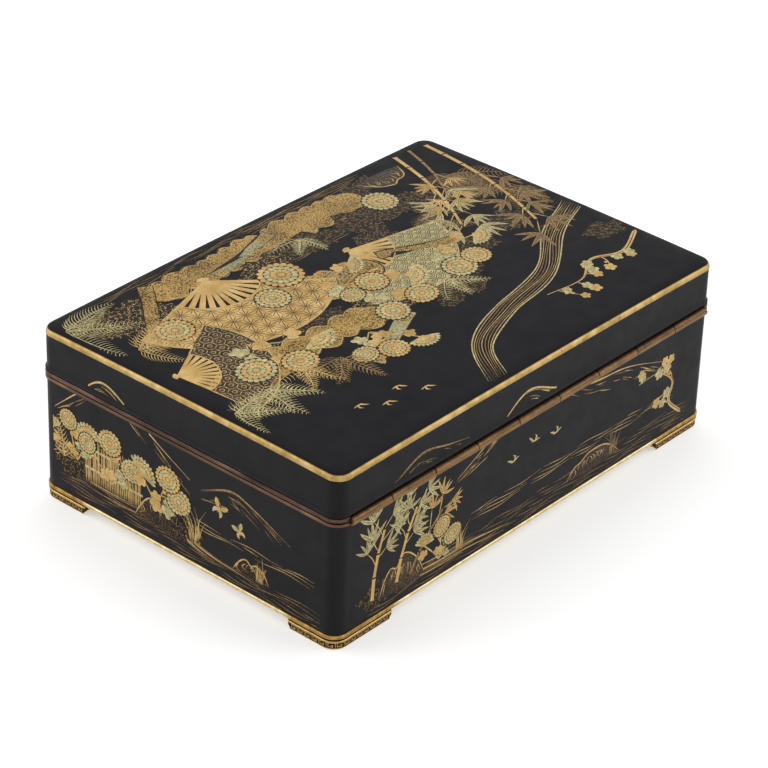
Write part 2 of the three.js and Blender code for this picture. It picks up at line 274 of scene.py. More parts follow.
MATERIALS = {
    "iron": iron_material("black_iron", "1c1a1c", "242122", 0.5, 0.11),
    # Painted shade: the lid's top takes a darker copy of the black iron, for the darker look of its upward
    # face
    "iron_top": iron_material("black_iron_top_shaded", "151417", "1c1a1d", 0.48, 0.06),
    "engraved": metal_material("engraved_line", "1d1813", "28211a", "352c21", 0.5),
    "gold": metal_material("gold_line", "a98a50", "c4a468", "d8bf88"),
    "gold_sheet": stippled_material("gold_sheet", "4c381e", "b08e4c", "d2ae68", 0.4, 0.47),
    "gold_leaf": metal_material("gold_leaf", "b18e50", "c8a566", "d8b97e", 0.38, 5),
    "pale": metal_material("pale_gold", "8f885e", "b8ab7a", "d3c898", 0.4, 1.2),
    "pale_sheet": stippled_material("pale_gold_sheet", "625c40", "a29a72", "bcb48c", 0.4, 0.5),
    "copper": metal_material("copper_line", "6a5539", "8d724a", "ae9064", 0.44, 0.9),
    "copper_sheet": stippled_material("copper_sheet", "241f1b", "5e4a35", "8f7149", 0.36, 0.36),
    "edge_band": band_material("gilt_edge_band"),
    # The rail's pale tones are a painted reflection of the floor between the feet, its darker ones painted
    # shade over the feet
    "rail": shaded_material("gilt_rail", ("d0b67c", "ecdcb4"), ("86662f", "c8a35f"), 1.8, 0.38),
    "rim": metal_material("copper_gilt_rim", "2f241e", "56413a", "7f6353", 0.42, 2.4, (0.25, 0.25, 1)),
    # The base's rim is lighter and more golden than the lid's: partly its own gilt, partly a painted
    # highlight for the bright gold along its lower edge
    "base_rim": metal_material("base_gilt_rim", "40302a", "664e3e", "a98656", 0.42, 30),
    # The tubes' light tones are a painted reflection of the floor on their lower side, their dark tones
    # painted shade on their upper side
    "tube": shaded_material("gilt_tube", ("6c523a", "907048"), ("2c211a", "4b3727"), 2.2, 0.44, (0.3, 1, 1)),
    "foot": shaded_material("gilt_foot", ("a88748", "d2b06c"), ("20180e", "3e3020"), 1.2),
    "lining": metal_material("gilt_lining", "a98445", "c29c58", "d3b06e", 0.4, 14, grain=0.02),
    "steel": metal_material("pin_steel", "6c6c6e", "8a8a8c", "a3a3a5", 0.38),
}


# Meshes

def new_mesh(name, points, faces, closed=True, attributes=None):
    """A mesh object from points in millimetres."""
    mesh = bpy.data.meshes.new(name)
    placed = (np.asarray(points, float) + (0, CASE_SHIFT, 0)) * MM
    mesh.from_pydata(placed.tolist(), [], faces)
    for key, values in (attributes or {}).items():
        mesh.attributes.new(key, "FLOAT", "POINT").data.foreach_set("value", values)
    if closed:
        work = bmesh.new()
        work.from_mesh(mesh)
        bmesh.ops.recalc_face_normals(work, faces=work.faces)
        work.to_mesh(mesh)
        work.free()
    mesh.shade_smooth()
    mesh.set_sharp_from_angle(angle=math.radians(SHARP_ANGLE))
    piece = bpy.data.objects.new(name, mesh)
    bpy.context.scene.collection.objects.link(piece)
    return piece


def dress(piece, material, body, slot, *stands_for):
    piece.data.materials.clear()
    piece.data.materials.append(MATERIALS[material])
    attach(piece, body)
    if stands_for:
        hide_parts(*stands_for)


def outline(offset=0.0):
    """Points round the case, anticlockwise from above, at a distance outside the iron walls."""
    radius = max(CORNER_RADIUS + offset, LEAST_RADIUS)
    centre_x = HALF_LENGTH + offset - radius
    centre_y = HALF_WIDTH + offset - radius
    corners = []
    for quarter, (sx, sy) in enumerate(((1, 1), (-1, 1), (-1, -1), (1, -1))):
        turns = [(quarter + i / CORNER_STEPS) * math.pi / 2 for i in range(CORNER_STEPS + 1)]
        corners.append([
            (sx * centre_x + radius * math.cos(t), sy * centre_y + radius * math.sin(t)) for t in turns
        ])
    points = []
    for quarter, corner in enumerate(corners):
        points += corner
        start, end = Vector(corner[-1]), Vector(corners[(quarter + 1) % 4][0])
        steps = LONG_STEPS if quarter % 2 == 0 else SHORT_STEPS
        points += [tuple(start.lerp(end, i / steps)) for i in range(1, steps)]
    return np.array(points)


def edge_rise(x, y):
    return ARCH_LONG * (1 - (x / HALF_LENGTH) ** 2) + ARCH_SHORT * (1 - (y / HALF_WIDTH) ** 2)


def ring(offset, z, arched=False):
    """The outline at a height. Where arched, it rises like the lid's edge."""
    flat = outline(offset)
    rise = edge_rise(*outline().T) if arched else np.zeros(len(flat))
    return np.column_stack([flat, z + rise])


def loft_faces(rings, count, closed):
    """Faces between neighbouring rings of count points each."""
    faces = []
    for j in range(rings if closed else rings - 1):
        low, high = j * count, ((j + 1) % rings) * count
        for i in range(count):
            after = (i + 1) % count
            faces.append((low + i, low + after, high + after, high + i))
    return faces


def rounded(profile, radius, steps=3):
    """The closed profile with each corner rounded off, as far as its sides allow."""
    out = []
    for i, corner in enumerate(profile):
        here = Vector(corner)
        before = Vector(profile[i - 1]) - here
        after = Vector(profile[(i + 1) % len(profile)]) - here
        cut = min(radius, before.length * 0.4, after.length * 0.4)
        start, end = here + before.normalized() * cut, here + after.normalized() * cut
        for k in range(steps + 1):
            t = k / steps
            out.append(tuple(start * (1 - t) ** 2 + here * 2 * t * (1 - t) + end * t ** 2))
    return out


def moulding(name, profile, arched=None, attributes=None):
    """A ring round the case. profile is (offset, height), and arched says which points arch."""
    flags = arched or [False] * len(profile)
    rings = [ring(offset, z, flag) for (offset, z), flag in zip(profile, flags)]
    points = np.concatenate(rings)
    return new_mesh(name, points, loft_faces(len(rings), len(rings[0]), True), attributes=attributes)


def shoulder(angle):
    """A point (offset, height) on the lid's rounded shoulder, at a corner of the lid."""
    turn = math.radians(angle)
    return (
        BAND_PROUD - SHOULDER_RADIUS * (1 - math.cos(turn)),
        LID_CORNER + FIT_GAP + BAND_FACE + SHOULDER_RADIUS * math.sin(turn),
    )


def dome_height(x, y, edge):
    """Height of a domed sheet of the lid. edge is its height at a corner of the lid."""
    crown = DOME_RISE - ARCH_LONG - ARCH_SHORT
    inner = (1 - (x / (HALF_LENGTH + DOME_EDGE)) ** 2) * (1 - (y / (HALF_WIDTH + DOME_EDGE)) ** 2)
    return edge + edge_rise(x, y) + crown * inner


def dome_rings(offset, edge):
    """Rings from the edge of a domed sheet towards its middle."""
    rows = [outline(offset) * (1 - k / DOME_STEPS) for k in range(DOME_STEPS)]
    return [np.column_stack([flat, dome_height(*flat.T, edge)]) for flat in rows]


def capped(name, rings, first, last):
    """A closed body from a stack of rings. A fan to a point closes each end."""
    count = len(rings[0])
    points = np.concatenate([*rings, [first], [last]])
    faces = loft_faces(len(rings), count, False)
    low, high = len(points) - 2, (len(rings) - 1) * count
    for i in range(count):
        after = (i + 1) % count
        faces.append((low, after, i))
        faces.append((high + i, high + after, low + 1))
    return new_mesh(name, points, faces)


def cut_box(piece, low, high):
    """Cuts a box out of a piece. Its corners are in millimetres."""
    cube = bmesh.new()
    bmesh.ops.create_cube(cube, size=1)
    low, high = Vector(low) * MM, Vector(high) * MM
    shift = Vector((0, CASE_SHIFT * MM, 0))
    for vertex in cube.verts:
        vertex.co = (low + high) / 2 + shift + Vector(a * b for a, b in zip(vertex.co, high - low))
    mesh = bpy.data.meshes.new("cutter")
    cube.to_mesh(mesh)
    cube.free()
    cutter = bpy.data.objects.new("cutter", mesh)
    bpy.context.scene.collection.objects.link(cutter)
    modifier = piece.modifiers.new("cut", "BOOLEAN")
    modifier.operation = "DIFFERENCE"
    modifier.object = cutter
    modifier.solver = "EXACT"
    bpy.context.view_layer.update()
    result = bpy.data.meshes.new_from_object(piece.evaluated_get(bpy.context.evaluated_depsgraph_get()))
    piece.modifiers.clear()
    piece.data = result
    bpy.data.objects.remove(cutter)
    result.shade_smooth()
    result.set_sharp_from_angle(angle=math.radians(SHARP_ANGLE))


def strip_seat(piece, z0, z1):
    """Cuts the back of a wall or rim away, where a hinge strip lies."""
    reach = HINGE_REACH + FIT_GAP
    inner = HALF_WIDTH - IRON_WALL - FIT_GAP
    cut_box(piece, (-reach, inner, z0), (reach, inner + 3 * IRON_WALL, z1))


# Case

RIM_PROUD = 0.45
RAIL_PROUD = 0.35
RAIL_INSIDE = -4.6
LIP_INSIDE = -3
LIP_OUTSIDE = -2.45
LIP_TIP = -2.75  # where the lip's chamfered top begins
RAIL_SHADE_MARGIN = 1  # of the rail beyond each foot, in the same painted shade as the rail over it
ARCH_LEVEL = 45  # above it the lid's wall follows the arch of its upper edge
base_seat = BASE_TOP - STRIP_HEIGHT - FIT_GAP
lid_seat = LID_BOTTOM + STRIP_HEIGHT + FIT_GAP


def band(inner, outer, low, high):
    """The four corners of an upright band's profile."""
    return [(inner, low), (outer, low), (outer, high), (inner, high)]


rail_profile = rounded(band(RAIL_INSIDE, RAIL_PROUD, RAIL_BOTTOM, RAIL_TOP), 0.3, 5)
feet_x, feet_y = HALF_LENGTH - FOOT_LENGTH - RAIL_SHADE_MARGIN, HALF_WIDTH - FOOT_WIDTH - RAIL_SHADE_MARGIN
# Painted shade over the feet, and a painted reflection of the floor on the rail between them
shaded_over_feet = [1.0 if abs(x) > feet_x and abs(y) > feet_y else 0.0 for x, y in outline()]
rail = moulding("bottom_rail", rail_profile, attributes={"shade": shaded_over_feet * len(rail_profile)})
dress(rail, "rail", "base", "gold", "base_bottom_rail")

base_wall = moulding("base_iron_wall", band(-IRON_WALL, 0, RAIL_TOP, BASE_WALL_TOP))
strip_seat(base_wall, base_seat, BASE_TOP)
dress(base_wall, "iron", "base", "black_iron", "base_wall")

base_rim = moulding("base_seam_rim", rounded(
    band(-IRON_WALL, RIM_PROUD, BASE_WALL_TOP, BASE_TOP), 0.22, 4,
))
strip_seat(base_rim, base_seat, LID_BOTTOM)
dress(base_rim, "base_rim", "base", "copper_gilt", "base_rim")

COVE = 1.4  # radius of the hollow corner between the lining's wall and its floor
COVE_STEPS = 6
lining_floor = FLOOR_TOP + LINING_THICKNESS
pan = [ring(LINING_OUTSIDE, FLOOR_TOP), ring(LINING_OUTSIDE, LIP_BOTTOM - FIT_GAP)]
pan.append(ring(LINING_INSIDE, LIP_BOTTOM - FIT_GAP))
for step in range(COVE_STEPS + 1):
    turn = step / COVE_STEPS * math.pi / 2
    inset = COVE * (1 - math.cos(turn))
    pan.append(ring(LINING_INSIDE - inset, lining_floor + COVE * (1 - math.sin(turn))))
lining = capped("base_gilt_lining", pan, (0, 0, FLOOR_TOP), (0, 0, lining_floor))
dress(lining, "lining", "base", "lining_gilt", "base_lining")

lip = moulding("base_gilt_lip", rounded([
    (LIP_INSIDE, LIP_BOTTOM), (LINING_OUTSIDE, LIP_BOTTOM), (LINING_OUTSIDE, BASE_TOP),
    (LIP_OUTSIDE, LID_BOTTOM), (LIP_OUTSIDE, LIP_TOP - 0.3), (LIP_TIP, LIP_TOP), (LIP_INSIDE, LIP_TOP),
], 0.12, 2))
dress(lip, "lining", "base", "lining_gilt", "base_lip")

lid_rim = moulding("lid_seam_rim", rounded(
    band(-IRON_WALL, RIM_PROUD, LID_BOTTOM, LID_WALL_BOTTOM), 0.25, 4,
))
strip_seat(lid_rim, BASE_TOP, lid_seat)
dress(lid_rim, "rim", "lid", "copper_gilt", "lid_rim")

# The lid's shoulder is a quarter round. The band covers its steep part, and the plate the rest.
DOME_EDGE, PLATE_TOP = shoulder(90)
BAND_INSIDE, _ = shoulder(BAND_ANGLE)
PLATE_OFFSET = BAND_INSIDE - FIT_GAP
plate_under = PLATE_TOP - PLATE_THICKNESS

# The bead above the lid's rim, with a groove under it and a hollow flare over it
BEAD = ((0.12, 0), (0.12, 0.2), (0.3, 0.35), (0.42, 0.55), (0.42, 0.73), (0.34, 0.83), (0.17, 1.02),
        (0.075, 1.22), (0.02, 1.42), (0, 1.62))
plate_seat = plate_under - FIT_GAP
wall_profile = [
    (-IRON_WALL, LID_WALL_BOTTOM), *((proud, LID_WALL_BOTTOM + rise) for proud, rise in BEAD),
    (0, LID_CORNER), (PLATE_OFFSET, LID_CORNER), (PLATE_OFFSET, plate_seat), (-IRON_WALL, plate_seat),
]
lid_wall = moulding("lid_iron_wall", wall_profile, [z > ARCH_LEVEL for _, z in wall_profile])
strip_seat(lid_wall, BASE_TOP, lid_seat)
dress(lid_wall, "iron", "lid", "black_iron", "lid_wall")

BAND_STEPS = 12
band_bottom = LID_CORNER + FIT_GAP
band_profile = [(BAND_INSIDE, band_bottom), (BAND_PROUD, band_bottom)]
band_profile += [shoulder(BAND_ANGLE * step / BAND_STEPS) for step in range(BAND_STEPS + 1)]
shares = [0.0, 0.0, *(step / BAND_STEPS for step in range(BAND_STEPS + 1))]
edge_band = moulding(
    "lid_gilt_edge_band", band_profile, [True] * len(band_profile),
    {"border": np.repeat(shares, len(outline()))},
)
dress(edge_band, "edge_band", "lid", "gold", "lid_edge_band")

PLATE_STEPS = 9
plate_angle = math.degrees(math.acos(1 - (BAND_PROUD - PLATE_OFFSET) / SHOULDER_RADIUS))
plate_round = []
for step in range(PLATE_STEPS):
    offset, height = shoulder(plate_angle + (90 - plate_angle) * step / PLATE_STEPS)
    plate_round.append(ring(offset, height - DOME_DROP, arched=True))
top_edge = PLATE_TOP - DOME_DROP
top = capped(
    "lid_iron_top",
    [*reversed(dome_rings(PLATE_OFFSET, plate_under)), *plate_round, *dome_rings(DOME_EDGE, top_edge)],
    (0, 0, dome_height(0, 0, plate_under)), (0, 0, dome_height(0, 0, top_edge)),
)
dress(top, "iron_top", "lid", "black_iron", "lid_top")

ceiling_top, ceiling_under = plate_under - FIT_GAP, plate_under - FIT_GAP - LINING_THICKNESS
lid_lining_low = LIP_TOP + 0.5
lid_lining = capped(
    "lid_gilt_lining",
    [
        *reversed(dome_rings(LINING_INSIDE, ceiling_under)),
        ring(LINING_INSIDE, lid_lining_low), ring(LINING_OUTSIDE, lid_lining_low),
        *dome_rings(LINING_OUTSIDE, ceiling_top),
    ],
    (0, 0, dome_height(0, 0, ceiling_under)), (0, 0, dome_height(0, 0, ceiling_top)),
)
dress(lid_lining, "lining", "lid", "lining_gilt", "lid_lining")


# Feet

FOOT_DEPTH = 4.4
FOOT_CHAMFER = 1.1
FOOT_PROFILE = [
    (-FOOT_DEPTH, 0), (-0.1, 0), (-0.02, 0.08), (0.04, 0.3), (0.06, 1.1), (0.1, 1.95),
    (0.1, 2.06), (0.24, 2.14), (0.32, 2.22), (0.32, 2.42), (0.24, 2.5), (0.08, 2.56),
    (0.08, RAIL_BOTTOM), (-FOOT_DEPTH, RAIL_BOTTOM),
]
GROUND_LOW, GROUND_HIGH = 0.25, 2.08  # the face of a foot that carries the fret
GROOVE = 0.08  # face of the groove between a foot and the rail
PLAIN_SHADE = 0.2  # of a foot's raised parts
LEG_SHARES = (0, 0.012, 0.026, 0.04, 0.056, 0.075, 0.3, 0.6)  # along a leg, close near its chamfer
FEET = [(side, face, sx, sy) for side, sx in (("left", -1), ("right", 1))
        for face, sy in (("front", -1), ("back", 1))]


def foot_path(offset):
    """Points from the foot's end on the long side, round the corner, to its end on the short side."""
    radius = max(CORNER_RADIUS + offset, LEAST_RADIUS)
    centre_x, centre_y = HALF_LENGTH + offset - radius, HALF_WIDTH + offset - radius
    start_x, start_y = HALF_LENGTH - FOOT_LENGTH, HALF_WIDTH - FOOT_WIDTH
    long_leg = [(start_x + s * (centre_x - start_x), centre_y + radius) for s in LEG_SHARES]
    turns = [math.pi / 2 * (1 - i / CORNER_STEPS) for i in range(CORNER_STEPS + 1)]
    arc = [(centre_x + radius * math.cos(t), centre_y + radius * math.sin(t)) for t in turns]
    short_leg = [(centre_x + radius, start_y + s * (centre_y - start_y)) for s in reversed(LEG_SHARES)]
    return long_leg + arc + short_leg


def lengths_along(path):
    """How far along a path each of its points lies."""
    return np.concatenate([[0], np.cumsum(np.linalg.norm(np.diff(path, axis=0), axis=1))])


def foot(side, face, sx, sy):
    """A bracket foot: the profile carried along its path, with both ends chamfered below."""
    runs = [foot_path(offset) for offset, _ in FOOT_PROFILE]
    lengths = lengths_along(foot_path(0))
    points = []
    for j, run in enumerate(lengths):
        lowest = max(0.0, FOOT_CHAMFER - min(run, lengths[-1] - run))
        for i, (_, z) in enumerate(FOOT_PROFILE):
            x, y = runs[i][j]
            points.append((sx * x, sy * y, max(z, lowest)))
    count = len(FOOT_PROFILE)
    ends = [(*range(count),), (*range(len(points) - count, len(points)),)]
    faces = ends + loft_faces(len(lengths), count, False)
    shade = [1.0 if offset > -1 and GROUND_LOW < z < GROUND_HIGH or offset == GROOVE else PLAIN_SHADE
             for offset, z in FOOT_PROFILE]
    piece = new_mesh(f"foot_body_{face}_{side}", points, faces, attributes={"shade": shade * len(lengths)})
    dress(piece, "foot", "base", "gold", f"foot_{face}_{side}")


for values in FEET:
    foot(*values)


# Hinge

ROUND_SIDES = 48
BORE_RADIUS = 0.55
TUBE_CHAMFER = 0.1
SEAM_ANGLE = 33
SEAM_HALF = 6
SEAM_DEPTH = 0.3
PAINTED_LIGHT_ANGLE = -45  # the side of a tube painted brightest, a painted reflection of the floor; the side across from it is painted shade


def tube(name, body, x0, x1, seamed=True):
    """One drawn tube of the hinge. The base's tubes show the groove of their rolled seam."""
    angles = [360 * i / ROUND_SIDES for i in range(ROUND_SIDES)]
    if seamed:
        angles = [a for a in angles if abs(a - SEAM_ANGLE) > SEAM_HALF]
        angles += [SEAM_ANGLE + d for d in (-SEAM_HALF, -SEAM_HALF + 0.5, SEAM_HALF - 0.5, SEAM_HALF)]
    angles.sort()
    shy = TUBE_RADIUS - TUBE_CHAMFER
    stations = [
        (x0, BORE_RADIUS), (x0, shy), (x0 + TUBE_CHAMFER, TUBE_RADIUS),
        (x1 - TUBE_CHAMFER, TUBE_RADIUS), (x1, shy), (x1, BORE_RADIUS),
    ]
    rings = []
    for x, radius in stations:
        row = []
        for a in angles:
            grooved = seamed and abs(a - SEAM_ANGLE) < SEAM_HALF - 0.2 and radius > BORE_RADIUS
            r = radius - (SEAM_DEPTH if grooved else 0)
            turn = math.radians(a)
            row.append((x, HINGE_AXIS_Y + r * math.cos(turn), SEAM_HEIGHT + r * math.sin(turn)))
        rings.append(row)
    # Painted light: each point's tone follows the way it faces, from a painted reflection of the floor to
    # painted shade on the upper side
    shade = [0.5 - 0.5 * math.cos(math.radians(a - PAINTED_LIGHT_ANGLE)) for a in angles] * len(rings)
    piece = new_mesh(
        name, np.concatenate(rings), loft_faces(len(rings), len(angles), True), attributes={"shade": shade},
    )
    dress(piece, "tube", body, "gold", f"hinge_{name}")


half_gap = KNUCKLE_GAP / 2
span = KNUCKLE_COUNT * KNUCKLE_PITCH / 2
tube("end_tube_left", "base", -HINGE_REACH + half_gap, -span - half_gap)
tube("end_tube_right", "base", span + half_gap, HINGE_REACH - half_gap)
made = {"base": 0, "lid": 0}
for k in range(KNUCKLE_COUNT):
    owner = "base" if k % 2 == 0 else "lid"
    made[owner] += 1
    start = k * KNUCKLE_PITCH - span
    label = f"{owner}_knuckle_{made[owner]}"
    tube(label, owner, start + half_gap, start + KNUCKLE_PITCH - half_gap, owner == "base")

for node, material in (
    ("base_floor", "iron"), ("hinge_base_strip", "rim"), ("hinge_lid_strip", "rim"), ("hinge_pin", "steel"),
):
    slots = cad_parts[node].data.materials
    for index in range(len(slots)):
        slots[index] = MATERIALS[material]


# Inlay: thin closed bodies of metal let into the iron. A drawing is in millimetres, u to the
# right and v up as seen from outside, and each motif lies a little higher than the one before.

MOST_SHOULDER = 0.8  # share of the shoulder's radius over which the lid's inlay may bend down
LARGE_SHAPE = 9  # a sheet wider than this gets points inside it, to follow the dome
INNER_PITCH = 4
THINNEST = 0.22  # share of its width that a wire keeps at its ends
EVEN = (0.001, 0.001)  # ends of a wire that doesn't thin


def lid_place(u, v, lift):
    """Puts a drawing on the domed plate, also where it bends down at the lid's shoulder."""
    inset = np.minimum(HALF_LENGTH - np.abs(u), HALF_WIDTH - np.abs(v))
    past = np.clip(-DOME_EDGE - inset, 0, SHOULDER_RADIUS * MOST_SHOULDER)
    drop = SHOULDER_RADIUS - np.sqrt(SHOULDER_RADIUS ** 2 - past ** 2)
    return np.column_stack([u, v, dome_height(u, v, top_edge) - drop + lift])


def wall_place(side):
    """Puts a drawing on one of the four upright sides."""
    turn = {"front": 0, "right": 90, "back": 180, "left": 270}[side]
    reach = HALF_WIDTH if side in ("front", "back") else HALF_LENGTH
    c, s = round(math.cos(math.radians(turn))), round(math.sin(math.radians(turn)))

    def place(u, v, lift):
        out = np.full(len(u), -(reach + lift))
        return np.column_stack([c * u - s * out, s * u + c * out, v])
    return place


def stretches(flags):
    """Slices over each run of two or more true values."""
    edges = np.flatnonzero(np.diff(np.concatenate([[0], np.asarray(flags, int), [0]])))
    return [slice(start, stop) for start, stop in zip(edges[::2], edges[1::2]) if stop - start > 1]


def curve(points, step=0.8):
    """Points about step apart on a smooth curve through the given ones."""
    p = np.asarray(points, float)
    if len(p) < 3:
        return p
    ends = np.concatenate([[2 * p[0] - p[1]], p, [2 * p[-1] - p[-2]]])
    out = []
    for i in range(len(p) - 1):
        a, b, c, d = ends[i:i + 4]
        count = max(1, math.ceil(np.linalg.norm(c - b) / step))
        t = (np.arange(count) / count)[:, None]
        cubic = (3 * b - a - 3 * c + d) * t ** 3
        out.append(0.5 * (2 * b + (c - a) * t + (2 * a - 5 * b + 4 * c - d) * t ** 2 + cubic))
    return np.concatenate([*out, p[-1:]])


def clip(polygon, box):
    """The polygon cut to a box (u0, v0, u1, v1)."""
    out = [tuple(p) for p in polygon]
    for axis, limit, sign in ((0, box[0], 1), (1, box[1], 1), (0, box[2], -1), (1, box[3], -1)):
        kept = []
        for i, here in enumerate(out):
            before = out[i - 1]
            here_in = sign * (here[axis] - limit) >= 0
            if here_in != (sign * (before[axis] - limit) >= 0):
                t = (limit - before[axis]) / (here[axis] - before[axis])
                kept.append(tuple(b + (h - b) * t for b, h in zip(before, here)))
            if here_in:
                kept.append(here)
        out = kept
    return out


def contains(polygon, points):
    """For each point, whether it lies inside the polygon."""
    p = np.asarray(polygon, float)
    x, y = np.reshape(np.asarray(points, float), (-1, 2)).T
    hits = np.zeros(len(x), int)
    for (x0, y0), (x1, y1) in zip(p, np.roll(p, -1, axis=0)):
        if y0 != y1:
            hits += ((y0 > y) != (y1 > y)) & (x < (x1 - x0) * (y - y0) / (y1 - y0) + x0)
    return hits % 2 == 1


def sheet_mesh(shape):
    """Faces that fill an outline: one for a small shape, and many that follow the dome for a large."""
    low, high = np.min(shape, axis=0), np.max(shape, axis=0)
    if max(high - low) < LARGE_SHAPE:
        return np.array(shape), [tuple(range(len(shape)))]
    rows = [np.arange(low[k] + INNER_PITCH / 2, high[k], INNER_PITCH) for k in range(2)]
    spots = [(x, y) for x in rows[0] for y in rows[1]]
    inner = [p for p, held in zip(spots, contains(shape, spots)) if held]
    found = delaunay_2d_cdt([Vector(p) for p in [*shape, *inner]], [], [list(range(len(shape)))], 1, 1e-5)
    return np.array([tuple(p) for p in found[0]]), [tuple(face) for face in found[2]]


def cells_touched(points):
    """The squares, CELL wide, in which the points lie."""
    return {tuple(cell) for cell in np.round(points / CELL).astype(int)}


def cells_under(shape):
    """The squares, CELL wide, that an outline covers."""
    shape = np.asarray(shape, float)
    low, high = np.round([shape.min(axis=0) / CELL, shape.max(axis=0) / CELL]).astype(int)
    spots = [(i, j) for i in range(low[0], high[0] + 1) for j in range(low[1], high[1] + 1)]
    held = contains(shape, np.array(spots) * CELL)
    return cells_touched(shape) | {spot for spot, inside in zip(spots, held) if inside}


def side_of(points):
    """The direction to the left of a run of points, at each of them."""
    way = np.gradient(points, axis=0)
    way /= np.maximum(np.linalg.norm(way, axis=1), 1e-9)[:, None]
    return np.column_stack([-way[:, 1], way[:, 0]])


class Drawing:
    """The inlay of one face of the box. regions are (body, box, place).

    Shapes wait until next() ends their motif. The motif then lies just above all that it covers.
    """

    def __init__(self, name, seed, regions):
        self.name = name
        self.rng = random.Random(seed)
        self.regions = regions
        self.waiting = []
        self.tops = {}
        self.bodies = {}

    def sway(self, limit):
        """A random number between -limit and limit."""
        return self.rng.uniform(-limit, limit)

    def store(self, body, metal, points, faces):
        """Adds to the mesh that a body carries in one metal. The faces count from 0."""
        held = self.bodies.setdefault((body, metal), ([], [], [0]))
        start = held[2][0]
        held[0].append(points)
        held[1].extend(tuple(start + i for i in face) for face in faces)
        held[2][0] += len(points)

    def line(self, points, width, metal, above, ends, smooth=True, step=0.8):
        """A wire along a curve. ends are the shares of its length over which it thins."""
        run = curve(points, step) if smooth else np.asarray(points, float)
        if len(run) < 2:
            return
        t = np.linspace(0, 1, len(run))
        thin = np.clip(np.minimum(t / ends[0], (1 - t) / ends[1]), THINNEST, 1)
        side = side_of(run) * (width / 2 * thin)[:, None]
        for body, box, place in self.regions:
            inside = np.all((run >= box[:2]) & (run <= box[2:]), axis=1)
            for part in stretches(inside):
                shape = (run[part] + side[part], run[part] - side[part])
                self.waiting.append((cells_touched(run), above, self.wire, (body, place, metal, *shape)))

    def even(self, points, width, metal, above):
        """A wire of one width all along, straight from point to point."""
        self.line(points, width, metal, above, EVEN, smooth=False)

    def wire(self, body, place, metal, left, right, lift):
        count = len(left)
        points = np.concatenate([
            place(*left.T, -SINK), place(*left.T, lift), place(*right.T, lift), place(*right.T, -SINK),
        ])
        rows = [np.arange(count) + k * count for k in range(4)]
        faces = [tuple(row[0] for row in reversed(rows)), tuple(row[-1] for row in rows)]
        for k in range(4):
            low, high = rows[k], rows[k - 1]
            faces += [(low[i], low[i + 1], high[i + 1], high[i]) for i in range(count - 1)]
        self.store(body, metal, points, faces)

    def fill(self, polygon, metal, above):
        """A sheet with the outline of the polygon, cut where the face of the box ends."""
        for body, box, place in self.regions:
            shape = clip(polygon, box)
            shape = [p for i, p in enumerate(shape) if math.dist(p, shape[i - 1]) > 1e-4]
            area = sum(a[0] * b[1] - b[0] * a[1] for a, b in zip(shape, shape[1:] + shape[:1]))
            if len(shape) > 2 and abs(area) > 1e-3:
                shape = shape if area > 0 else shape[::-1]
                self.waiting.append((cells_under(shape), above, self.sheet, (body, place, metal, shape)))

    def sheet(self, body, place, metal, shape, lift):
        flat, tops = sheet_mesh(shape)
        count = len(flat)
        points = np.concatenate([place(*flat.T, lift), place(*flat.T, -SINK)])
        edges = {(face[i - 1], face[i]) for face in tops for i in range(len(face))}
        faces = tops + [tuple(i + count for i in reversed(face)) for face in tops]
        faces += [(a + count, b + count, b, a) for a, b in sorted(edges) if (b, a) not in edges]
        self.store(body, metal, points, faces)

    def dot(self, u, v, radius, metal, above):
        self.fill(disc(u, v, radius, 7), metal, above)

    def edging(self, polygon, width, metal, above):
        self.even([*polygon, polygon[0]], width, metal, above)

    def next(self, layers):
        """Ends a motif that is so many layers high."""
        cells = set().union(*(item[0] for item in self.waiting))
        ground = max((self.tops.get(cell, 0) for cell in cells), default=0)
        for _, above, make, shape in self.waiting:
            make(*shape, LOWEST_LIFT + LAYER * (ground + above))
        self.tops.update((cell, ground + layers) for cell in cells)
        self.waiting = []

    def draw(self, design):
        """Draws a design, which lists each motif with the values of every place where it comes."""
        for motif, *places in design:
            for values in places:
                motif(self, *values)
        self.finish()

    def finish(self):
        self.next(0)
        for (body, metal), (points, faces, _) in sorted(self.bodies.items()):
            piece = new_mesh(f"inlay_{self.name}_{body}_{metal}", np.concatenate(points), faces, closed=False)
            dress(piece, metal, body, "black_iron" if metal == "engraved" else "gold")


def arc(u, v, radius, start, stop, count):
    turns = np.linspace(start, stop, count)
    return np.column_stack([u + radius * np.cos(turns), v + radius * np.sin(turns)])


def disc(u, v, radius, count):
    return arc(u, v, radius, 0, 2 * math.pi, count + 1)[:-1]


def bar(u0, u1, v0, v1):
    return [(u0, v0), (u1, v0), (u1, v1), (u0, v1)]


class Local:
    """A place, turn and size for a motif. squash makes it lower than it is wide."""

    def __init__(self, u, v, turn=0.0, size=1.0, squash=1.0):
        self.origin = np.array((u, v), float)
        self.size = np.array((size, size * squash))
        c, s = math.cos(math.radians(turn)), math.sin(math.radians(turn))
        self.axes = np.array(((c, s), (-s, c)))

    def __call__(self, points):
        return (np.asarray(points, float) * self.size) @ self.axes + self.origin


def away(u, v, turn, reach):
    """The point at a distance from another, in a direction in degrees."""
    return Local(u, v, turn)([(reach, 0)])[0]


# Patterns, from old weaves and brocades

HEXAGON = 0.577  # from the middle of a hexagon to its corner, as a share of its width
TRIANGLE = 0.866  # height of a triangle, as a share of its side


def grid(low, high, pitch, rise):
    """Points of a grid, with every other row shifted by half a pitch."""
    for j, y in enumerate(np.arange(low[1] - rise, high[1] + rise, rise)):
        for x in np.arange(low[0] - pitch, high[0] + pitch, pitch):
            yield x + (pitch / 2 if j % 2 else 0), y


def waves(low, high, pitch):
    """Rows of arcs within arcs, like scales of water."""
    return [arc(x, y, pitch * share, 0.12, math.pi - 0.12, 8)
            for x, y in grid(low, high, pitch, pitch / 2) for share in (0.5, 0.33, 0.16)]


